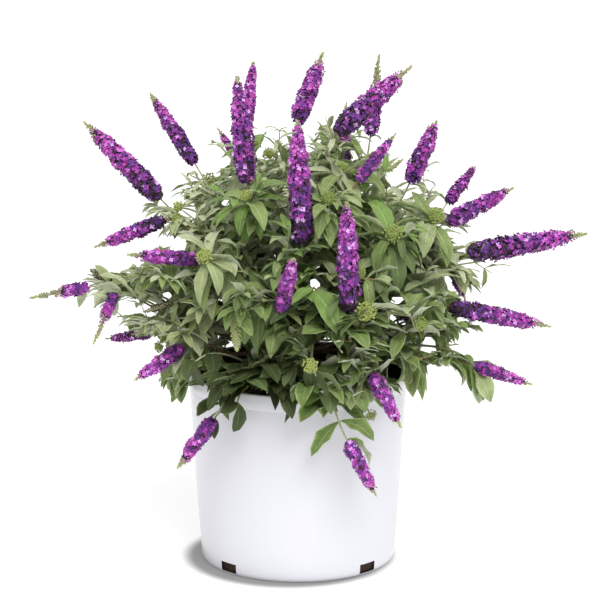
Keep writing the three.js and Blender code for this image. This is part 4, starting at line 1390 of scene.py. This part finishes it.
leaf_points, leaf_grown = grown_leaves()
print(int(leaf_grown.sum()), "leaves grown")

# %% Tints of the leaves
# leaf tints from dark to light, each with its midrib; the two darkest, shaded_leaf and deep_leaf, are painted
# shade, darker copies for leaves low under the crown
LEAF_TINTS = [
    ("shaded_leaf", (62, 74, 40), (90, 104, 64)),
    ("deep_leaf", (90, 108, 62), (124, 140, 92)),
    ("green_leaf", (112, 132, 76), (146, 160, 108)),
    ("olive_leaf", (124, 142, 84), (162, 172, 126)),
    ("sage_leaf", (148, 160, 114), (176, 184, 142)),
    ("silver_leaf", (174, 182, 146), (194, 200, 168)),
    ("fresh_leaf", (112, 140, 70), (150, 170, 106)),
]
# undersides: a darker copy as painted shade under leaves of the two darkest tints, and the pale felted one
# under all others
UNDER_TINTS = [
    ("shaded_underside", (110, 122, 84), (132, 142, 104)),
    ("leaf_underside", (178, 186, 158), (196, 200, 176)),
]
DARK_TINTS = 2  # this many of the tints are in the shade, where less light comes through a blade
FRESH_TINT, SHADED_UNDER, LIGHT_UNDER = 6, 7, 8
leaf_finishes = [
    leaf_finish(*tint, light_through=LIGHT_THROUGH / 4 if number < DARK_TINTS else LIGHT_THROUGH)
    for number, tint in enumerate(LEAF_TINTS)
]
leaf_finishes += [leaf_finish(*tint, roughness=0.75) for tint in UNDER_TINTS]
# how the tone that picks a tint is made; its rise with height is painted light and shade, lighter on top and
# darker low under the crown
LEAF_TONE = {
    "low": 1.1, "height": 3.4, "by_spray": 0.6, "by_leaf": 0.55, "young": 0.8, "round_dome": -1.0,
    "hanging": -0.8,
}
FRESH = {"sprays": 0.16, "leaves": 0.75, "masses": (-0.5, 1.4)}  # shares, and the tones of masses with any


def leaf_tints():
    """Index of the tint: a tone that rises with height, shifted by mass, spray and leaf. The rise with height
    is painted light and shade: lighter on top, darker low under the crown.
    """
    middle = leaf_points[:, 4, 1]
    height = np.clip(middle[:, 2] / (CROWN_LIFT + CROWN_HALVES[2]), -0.2, 1)
    spray = leaf_numbers.normal(0, LEAF_TONE["by_spray"], len(SHOOTS)) + leaf_tone_and_shade_of
    spray += LEAF_TONE["round_dome"] * bold_dome + LEAF_TONE["hanging"] * hanging_shoot
    tone = LEAF_TONE["low"] + LEAF_TONE["height"] * height + spray[leaf_shoot]
    tone += leaf_numbers.normal(0, LEAF_TONE["by_leaf"], len(middle))
    tone += LEAF_TONE["young"] * leaf_young
    tint = np.clip(np.round(tone), 0, FRESH_TINT - 1).astype(int)
    darkest, lightest = FRESH["masses"]
    fresh_spray = leaf_numbers.random(len(SHOOTS)) < FRESH["sprays"]
    fresh_spray &= (leaf_tone_and_shade_of > darkest) & (leaf_tone_and_shade_of < lightest)
    fresh = fresh_spray[leaf_shoot] & (leaf_numbers.random(len(middle)) < FRESH["leaves"])
    return np.where(fresh & (tint >= DARK_TINTS), FRESH_TINT, tint)


leaf_tint = leaf_tints()
print("leaves of each tint:", np.bincount(leaf_tint[leaf_grown]).tolist())

# %% Leaf pieces
ACROSS_BLADE = np.array([0.0, 0.5, 1.0, 0.5])  # V of the left margin, midrib, right margin and under midrib
GROUPS = ["upper", "front", "back"]
GROUP_EDGES = np.cumsum([0, len(SINGLE_MASSES), len(PAIRED_MASSES), len(TURNED_NAMES)])


def blade_faces(count):
    """Quads of the upper and lower face, left and right of the midrib, and the two closing ends."""
    rows = len(LEAF_ROWS)
    row = np.arange(rows - 1) * 4
    left, middle, right, under = row, row + 1, row + 2, row + 3
    upper = np.concatenate([
        np.stack([left, middle, middle + 4, left + 4], axis=1),
        np.stack([middle, right, right + 4, middle + 4], axis=1),
    ])
    last = (rows - 1) * 4
    lower = np.concatenate([
        np.stack([left, left + 4, under + 4, under], axis=1),
        np.stack([under, under + 4, right + 4, right], axis=1),
        np.array([[0, 3, 2, 1], [last, last + 1, last + 2, last + 3]]),
    ])
    return repeated([upper, lower], count, rows * 4)


def leaf_piece(name, chosen, nodes=()):
    """One piece from the chosen leaves, with U along and V across each blade."""
    points = leaf_points[chosen]
    upper, lower = blade_faces(len(points))
    uv = np.stack(np.broadcast_arrays(LEAF_ROWS[:, None], ACROSS_BLADE), axis=-1).reshape(-1, 2)
    tint = np.repeat(leaf_tint[chosen], len(upper) // len(points))
    under_tint = np.where(leaf_tint[chosen] < DARK_TINTS, SHADED_UNDER, LIGHT_UNDER)
    under = np.repeat(under_tint, len(lower) // len(points))
    piece = new_piece(
        name, points.reshape(-1, 3) + HEART, [upper, lower], leaf_finishes,
        np.concatenate([tint, under]), np.tile(uv, (len(points), 1)),
    )
    piece.data.set_sharp_from_angle(angle=math.radians(60))
    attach(piece, "root")
    if nodes:
        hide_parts(*nodes)
    return piece


leaf_group = np.digitize(shoot_mass[leaf_shoot], GROUP_EDGES[1:3])
for group, group_name in enumerate(GROUPS):
    names = [f"foliage_{mass[0]}" for mass in MASSES[GROUP_EDGES[group]:GROUP_EDGES[group + 1]]]
    leaf_piece(f"leaves_{group_name}", leaf_grown & (leaf_group == group) & ~leaf_young, names)
leaf_piece("young_leaves", leaf_grown & leaf_young)

# %% [markdown]
# ## Flower spikes
#
# A spike is hundreds of small four-lobed flowers on short stalks round a thin axis. They open from the foot
# up: the oldest at the foot are dark, those in the middle violet, those above magenta, and the tip is still
# in bud. Each spike is a dark core with the flowers set on it by the golden angle, which packs them evenly.
# The core's dark purple is partly that of the tubes and stalks inside and partly painted shade in the gaps
# between the flowers. A flower is one closed star of a dozen points round a hollow, with a small orange eye.

# %% The curve and the width of each spike
HEAD_PROFILE = np.array(
    [[0, 0.5], [0.05, 0.84], [0.18, 1], [0.5, 0.96], [0.72, 0.8], [0.86, 0.6], [0.94, 0.44], [1, 0.24]]
)
HEAD_SUNK = 3.0 * MM
head_numbers = np.random.default_rng(733)
head_shoot = np.flatnonzero(flowering)
head_size = np.array([SHOOTS[number][4:] for number in head_shoot])
head_kind = shoot_kind[head_shoot]
head_mass = shoot_mass[head_shoot]


def head_curves():
    """From just below the shoot's end, half along the way it arrives and half straight to the tip."""
    arrival = curve_headings(shoot_ends[head_shoot], [1.0])[:, 0]
    foot = shoot_ends[head_shoot, 2]
    headings = np.array([SHOOTS[number][2] for number in head_shoot])
    length = head_size[:, :1]
    start = foot - arrival * HEAD_SUNK
    tip = foot + headings * length
    middle = ((start + arrival * length / 2) + (start + tip) / 2) / 2
    return np.stack([start, middle, tip], axis=1)


head_ends = head_curves()
print(len(head_ends), "flower spikes,", round(float(head_size[:, 0].sum()), 2), "m in all")

# %% Where the single flowers sit
FLORET_PITCH = 3.9 * MM
FLORET_RADIUS = 3.3 * MM
FLORET_INSET = 1.4 * MM
LUMP_LENGTH = 13.0 * MM
# by mass and number of the spike: its share in flower, and the lowest tone of its foot
OPEN_SHARE = {
    ("high_right", 1): 0.55, ("left", 0): 0.42, ("front_left", 0): 0.42, ("top", 1): 0.93,
    ("front_high", 0): 0.93, ("front_high", 2): 0.93, ("front", 0): 0.92, ("front", 1): 0.93,
    ("right", 0): 0.93, ("high_right", 0): 0.9,
}
NO_FLOOR, PLAIN_FOOT_TONE = -9, 1.6  # a foot as dark as it comes, and the lowest tone of most feet
FOOT_TONE = {
    ("high_left", 0): NO_FLOOR, ("high_left", 1): NO_FLOOR, ("high_right", 2): NO_FLOOR,
    ("right", 2): NO_FLOOR, ("front_high", 2): NO_FLOOR, ("front", 0): NO_FLOOR,
    ("front_right", 0): NO_FLOOR, ("front_left_high", 0): 0, ("top", 1): 2.6,
}
first_shoot = np.searchsorted(shoot_mass, head_mass)
head_key = [(MASSES[mass][0], int(number)) for mass, number in zip(head_mass, head_shoot - first_shoot)]


def open_share():
    """The share of each spike's length that is in flower; the rest of it is in bud."""
    spread = head_numbers.uniform(0.78, 0.87, len(head_key))
    opened = np.array([OPEN_SHARE.get(key, share) for key, share in zip(head_key, spread)])
    return np.where(head_kind == "flower", opened, -1.0)


head_open = open_share()
DARK_BACK_SHARE = 0.4  # of the spikes of the turned masses


def foot_tone_of(key):
    """The lowest tone of a spike's foot: from the table, or drawn for a spike that the table doesn't name."""
    dark = key not in FOOT_TONE and key[0] in TURNED_NAMES and head_numbers.random() < DARK_BACK_SHARE
    return FOOT_TONE.get(key, NO_FLOOR if dark else PLAIN_FOOT_TONE)


foot_tone = np.array([foot_tone_of(key) for key in head_key])
print(int((foot_tone == NO_FLOOR).sum()), "spikes are dark at the foot")


def girth_at(share, opened):
    """A spike's girth at a share of its length: its profile, drawn in by two fifths where it is in bud."""
    profile = np.interp(share, HEAD_PROFILE[:, 0], HEAD_PROFILE[:, 1])
    return profile * (1 - 0.4 * np.clip((share - opened) / 0.1, 0, 1) * (opened > 0))


# %% Cores of the spikes
CORE_SHARE = 0.68
BUD_CORE_SHARE = 0.42
CORE_RINGS, CORE_SIDES = 18, 8
# the core's dark purple is partly the colour of the tubes inside and partly painted shade between the
# flowers; the tip's grey green is its own
CORE_TINTS = [("spike_core", (56, 24, 64)), ("spike_tip", (150, 150, 116))]
core_finishes = finish_set(CORE_TINTS, 0.8, (260.0, 0.3), (900.0, 0.0005))
core_rings = np.linspace(0, 1, CORE_RINGS)
in_bud_ring = core_rings[None] > head_open[:, None]
core_share = np.where(in_bud_ring & (head_open[:, None] > 0), BUD_CORE_SHARE, CORE_SHARE)
core_radii = girth_at(core_rings, head_open[:, None]) * core_share * head_size[:, 1:] / 2
core_points = tube_points(head_ends, core_rings, core_radii[..., None], CORE_SIDES)
wall_tint = np.repeat(in_bud_ring[:, :-1], CORE_SIDES, axis=1).ravel()
core_tint = np.concatenate([wall_tint, head_kind != "flower", np.ones(len(head_ends), bool)])
core_faces = tube_faces(len(head_ends), CORE_RINGS, CORE_SIDES)
cores = new_piece("spike_cores", core_points.reshape(-1, 3) + HEART, core_faces, core_finishes, core_tint)
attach(cores, "root")

# %% The single flowers of a spike
FLORET_FILL = 0.9  # share of an even packing
LUMP_HEIGHT, FLORET_SCATTER = 0.13, 0.05  # both are shares of the spike's radius


def floret_table():
    """Every flower: spike, share of its length, place, outward heading and size.

    Along the spike they are dealt out in step with its girth. Round it each is a golden angle on.
    """
    fine = np.linspace(0.0, 1, 400)
    girth = np.interp(fine, HEAD_PROFILE[:, 0], HEAD_PROFILE[:, 1]) + 0.12
    running = np.concatenate([[0], np.cumsum((girth[1:] + girth[:-1]) / 2)])
    running /= running[-1]
    mean = float(np.mean(girth))
    rows = []
    for head in range(len(head_ends)):
        length, width = head_size[head]
        count = int(length * np.pi * width * FLORET_FILL * mean / FLORET_PITCH**2)
        share = np.interp((np.arange(count) + 0.5) / count, running, fine)
        turn = np.radians(GOLDEN_ANGLE * np.arange(count) + head_numbers.uniform(0, 360))
        turn += head_numbers.normal(0, 0.12, count)
        centre = curve_points(head_ends[head], share)
        heading = curve_headings(head_ends[head], share)
        first, second = sideways(heading)
        outward = first * np.cos(turn)[:, None] + second * np.sin(turn)[:, None]
        radius = girth_at(share, head_open[head]) * width / 2
        lumps = ripples(centre + outward * radius[:, None], 12, LUMP_LENGTH, head_numbers)
        scatter = head_numbers.normal(0, FLORET_SCATTER, count)
        radius = radius * (1 + LUMP_HEIGHT * lumps + scatter) - FLORET_INSET
        tip_forward = heading * (0.35 + 0.9 * share**3)[:, None]
        lean = unit(outward + tip_forward + head_numbers.normal(0, 0.2, (count, 3)))
        rows.append((np.full(count, head), share, centre + outward * radius[:, None], lean, lumps))
    return [np.concatenate(column) for column in zip(*rows)]


floret_head, floret_share, floret_place, floret_lean, floret_lump = floret_table()
floret_open = head_open[floret_head] + head_numbers.normal(0, 0.03, len(floret_head))
in_flower = floret_share < floret_open
print(int(in_flower.sum()), "flowers and", int((~in_flower).sum()), "buds")

# %% One flower and one bud
LOBES = 4
LOBE_RADIUS = [0.58, 0.97, 0.97]  # the notch between two lobes, and the lobe's two corners
LOBE_LIFT = [-0.12, 0.1, 0.02]
FLOWER_MIDDLE, FLOWER_BACK = -0.14, -0.75
SPINDLE = {"radius": 0.5, "widest": 0.1, "top": 0.6, "foot": -0.5}


def fanned(rim, top, foot):
    """A closed form: a rim of points, each pair of neighbours joined to a point above and one below."""
    side, following = neighbours(len(rim))
    upper = np.stack([side, following, np.full(len(rim), len(rim))], axis=1)
    lower = np.stack([following, side, np.full(len(rim), len(rim) + 1)], axis=1)
    return np.concatenate([rim, [[0, 0, top], [0, 0, foot]]]), [np.concatenate([upper, lower])]


def star_form():
    """Four broad lobes round a dished middle: a rim of twelve points, fanned to a front and a back point."""
    rim = circle(full_turn(3 * LOBES)) * np.tile(LOBE_RADIUS, LOBES)[:, None]
    rim[:, 2] = np.tile(LOBE_LIFT, LOBES)
    return fanned(rim, FLOWER_MIDDLE, FLOWER_BACK)


def spindle_form(sides):
    """A closed spindle about one unit long and wide: a ring round its middle and a point at both ends."""
    ring = circle(full_turn(sides)) * SPINDLE["radius"]
    ring[:, 2] = SPINDLE["widest"]
    return fanned(ring, SPINDLE["top"], SPINDLE["foot"])


BLOSSOM_TINTS = [
    ("old_blossom", (50, 16, 48)), ("violet_blossom", (90, 38, 126)), ("purple_blossom", (130, 46, 150)),
    ("magenta_blossom", (172, 56, 168)), ("pink_blossom", (204, 108, 204)), ("painted_highlight_blossom", (218, 166, 234)),
]
BUD_TINTS = [
    ("mauve_bud", (158, 92, 148)), ("grey_bud", (164, 160, 128)), ("green_bud", (166, 178, 110)),
    ("dry_seed", (70, 60, 44)),
]
# the last blossom tint is a painted highlight: a pale flower that stands for a bright point of light on the
# petals
HIGHLIGHT_TINT = 5
blossom_finishes = finish_set(BLOSSOM_TINTS, 0.6, (240.0, 0.2), (1500.0, 0.0002), Sheen_Weight=0.15)
eye_finish = plain_finish("flower_eye", (226, 120, 30), 0.5, mottle=(300.0, 0.1), relief=(1500.0, 0.0001))
bud_finishes = finish_set(BUD_TINTS, 0.65, (240.0, 0.2), (1500.0, 0.0002))

# how the tone rises from the foot to the part in bud
TONE_PLACES = [0, 0.15, 0.39, 0.63, 0.88, 1]
TONES = [-0.4, 0, 1.0, 2.2, 2.8, 3.0]
# flowers high on a lump take a higher tone and those in its hollows a darker one: partly patches of one tone,
# as the spike's small clusters have, and partly painted shade in the hollows; the scatter is tone at random
TONE_AND_SHADE_BY_LUMP, TONE_SCATTER = 0.6, 1.05
# share of flowers in the pale tint, a painted highlight: so many at the foot, and more toward the bud
HIGHLIGHT_SHARE = {"foot": 0.05, "rise": 0.02}


def blossom_tint():
    """Dark at the foot of the spike, violet above it, and magenta to pink toward the part in bud. Flowers
    high on a lump are lighter and those in its hollows darker, partly as painted shade. A few flowers take
    the pale tint, a painted highlight.
    """
    along = floret_share / np.maximum(floret_open, 0.3)
    tone = np.maximum(np.interp(along, TONE_PLACES, TONES), foot_tone[floret_head])
    tone += head_numbers.uniform(-0.2, 0.3, len(head_ends))[floret_head]
    tone += TONE_AND_SHADE_BY_LUMP * floret_lump + head_numbers.normal(0, TONE_SCATTER, len(along))
    pale = head_numbers.random(len(along)) < HIGHLIGHT_SHARE["foot"] + HIGHLIGHT_SHARE["rise"] * along
    return np.where(pale, HIGHLIGHT_TINT, np.clip(np.round(tone), 0, HIGHLIGHT_TINT - 1).astype(int))


floret_tint = blossom_tint()
print("flowers of each tint:", np.bincount(floret_tint[in_flower]).tolist())

# %% Flower and bud pieces
EYE_SIZE, EYE_SHARE, EYES_FROM = 0.9 * MM, 0.7, 0.3  # size, share with an eye, share of a spike without any
BUD_SIZE = (4.4, 6.2)
BUD_SHARE = 0.6  # of the places in bud
GREEN_BUD, SEED = 2, 3
head_group = np.digitize(head_mass, GROUP_EDGES[1:3])


def joined_forms(name, form, place, heading, size, finishes, tint):
    """One piece of many copies of a small closed form, each copy in one tint, with flat faces."""
    spin = head_numbers.uniform(0, 2 * np.pi, len(place))
    points, faces = copies(*form, place + HEART, turned_axes(heading, spin), size)
    index = np.repeat(tint, len(faces[0]) // len(place))
    piece = new_piece(name, points, faces, finishes, index, smooth=False)
    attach(piece, "root")
    return piece


floret_size = FLORET_RADIUS * head_numbers.uniform(0.82, 1.12, len(floret_head))
floret_size = floret_size * (1 - 0.28 * floret_share**2)
for group, group_name in enumerate(GROUPS):
    here = in_flower & (head_group[floret_head] == group)
    joined_forms(
        f"flowers_{group_name}", star_form(), floret_place[here], floret_lean[here], floret_size[here],
        blossom_finishes, floret_tint[here],
    )
eyes = in_flower & (floret_share > EYES_FROM) & (head_numbers.random(len(floret_share)) < EYE_SHARE)
joined_forms(
    "flower_eyes", spindle_form(4), floret_place[eyes], floret_lean[eyes], EYE_SIZE, [eye_finish],
    np.zeros(int(eyes.sum()), int),
)
in_bud = ~in_flower & ((head_numbers.random(len(floret_share)) < BUD_SHARE) | (floret_open < 0))
bud_green = (floret_share - floret_open) / (1.02 - np.minimum(floret_open, 0.95))
bud_tone = bud_green * 2.4 + head_numbers.normal(0, 0.4, len(bud_green))
bud_tint = np.clip(np.round(bud_tone), 0, GREEN_BUD).astype(int)
bud_tint[head_kind[floret_head] == "green"] = GREEN_BUD
bud_tint[head_kind[floret_head] == "seed"] = SEED
bud_form, bud_faces = spindle_form(5)
slim_bud = (bud_form * [0.6, 0.6, 1.0], bud_faces)
bud_size = head_numbers.uniform(*BUD_SIZE, len(floret_head)) * MM * (1 - 0.3 * floret_share)
joined_forms(
    "spike_buds", slim_bud, floret_place[in_bud], floret_lean[in_bud], bud_size[in_bud], bud_finishes,
    bud_tint[in_bud],
)

# %% [markdown]
# ## Clusters of young buds
#
# Shoots that will flower next end in a dome of yellow-green buds between their youngest leaves. A dome is
# some six dozen plump spindles set on two thirds of a ball by the golden angle.

# %% Bud domes
DOME_BUDS = 76
DOME_FORWARD = 6 * MM  # the ball's middle, beyond the shoot's end
DOME_DEPTH = 1.35  # in radii: how far down the ball the buds go
DOME_WIDTH = (4.5, 7)  # of the domes that the tables don't name
DOME_BUD_SIZE = 0.42  # share of the ball's radius
DOME_SHARES = [0.5, 0.38, 0.12]
DOME_TINTS = [
    ("yellow_dome", (162, 174, 96)), ("green_dome", (144, 160, 86)), ("grey_dome", (154, 162, 106)),
]


def bud_domes():
    """Spindles set round the tips of leafy shoots: place, heading, size and tint, and the balls under them.

    Each stands where a spiral down from the ball's top comes to: rise times the heading, plus the level
    radius times the cosine and sine of its turn.
    """
    tips = np.flatnonzero(domed)
    heading = curve_headings(shoot_ends[tips], [1.0])[:, 0]
    centre = shoot_ends[tips, 2] + heading * DOME_FORWARD
    bold_width = np.array([SHOOTS[number][4] for number in tips])
    width = np.where(bold_width > 0, bold_width, head_numbers.uniform(*DOME_WIDTH, len(tips)) * MM)
    first, second = sideways(heading)
    number = np.arange(DOME_BUDS)
    rise = 1 - DOME_DEPTH * (number + 0.5) / DOME_BUDS
    turn = np.radians(GOLDEN_ANGLE) * number
    level = np.sqrt(1 - rise**2)
    outward = (
        heading[:, None] * rise[:, None]
        + first[:, None] * (level * np.cos(turn))[:, None]
        + second[:, None] * (level * np.sin(turn))[:, None]
    )
    lumps = 1 + 0.15 * head_numbers.normal(size=(len(tips), DOME_BUDS, 1))
    place = centre[:, None] + outward * width[:, None, None] * lumps
    size = np.repeat(width * DOME_BUD_SIZE, DOME_BUDS) * head_numbers.uniform(0.8, 1.2, len(tips) * DOME_BUDS)
    lean = unit(outward + heading[:, None] * 0.6)
    tint = np.repeat(head_numbers.choice(3, len(tips), p=DOME_SHARES), DOME_BUDS)
    return place.reshape(-1, 3), lean.reshape(-1, 3), size, tint, centre, heading, width


dome_finishes = finish_set(DOME_TINTS, 0.7, (260.0, 0.2), (1500.0, 0.0002))
dome_place, dome_lean, dome_size, dome_tint, dome_centre, dome_heading, dome_width = bud_domes()
dome_form = (bud_form * [0.8, 0.8, 1.0], bud_faces)
joined_forms("bud_domes", dome_form, dome_place, dome_lean, dome_size, dome_finishes, dome_tint)
joined_forms(
    "dome_cores", spindle_form(7), dome_centre, dome_heading, dome_width * 1.6, dome_finishes,
    dome_tint[::DOME_BUDS],
)

# %% [markdown]
# ## Floor
#
# The floor is a wide flat sheet, so its edge is never seen. It belongs to the studio, not to the plant.

# %% Floor
FLOOR_SIZE = 60.0
FLOOR_GLOW = 0.6
# a painted shadow on the floor round the pot's foot: its middle, the distances of full and of no shadow, and
# its depth
FLOOR_PAINTED_SHADOW = {"centre": (-0.011, -0.006, 0.0), "full": 0.121, "none": 0.143, "depth": 0.72}
floor_finish = plain_finish(
    "studio_floor", (180, 180, 180), 0.9, mottle=(0.6, 0.004), relief=(2.0, 0.0001),
    Emission_Color=WHITE, Emission_Strength=FLOOR_GLOW,
)


def paint_floor_shadow(tree):
    """Paint a shadow round the pot's foot by darkening base and glow: one minus depth times a smooth step of
    the distance.
    """
    shader = tree.nodes["Principled BSDF"].inputs
    place = add_node(tree, "TexCoord").outputs["Object"]
    away = add_node(tree, "VectorMath", [place, FLOOR_PAINTED_SHADOW["centre"]], operation="DISTANCE").outputs["Value"]
    step = add_node(tree, "MapRange", {
        "Value": away, "From Min": FLOOR_PAINTED_SHADOW["full"], "From Max": FLOOR_PAINTED_SHADOW["none"],
        "To Min": 1 - FLOOR_PAINTED_SHADOW["depth"],
    }, interpolation_type="SMOOTHSTEP")
    for label in ("Base Color", "Emission Color"):
        plain = shader[label].links[0].from_socket if shader[label].is_linked else WHITE[:3]
        darker = add_node(tree, "VectorMath", {0: plain, "Scale": step.outputs["Result"]}, operation="SCALE")
        tree.links.new(darker.outputs["Vector"], shader[label])


paint_floor_shadow(floor_finish.node_tree)
floor_corners = np.array([[-1, -1, 0], [1, -1, 0], [1, 1, 0], [-1, 1, 0]]) * FLOOR_SIZE / 2
floor_sheet = new_piece("studio_floor", floor_corners, [np.array([[0, 1, 2, 3]])], [floor_finish])
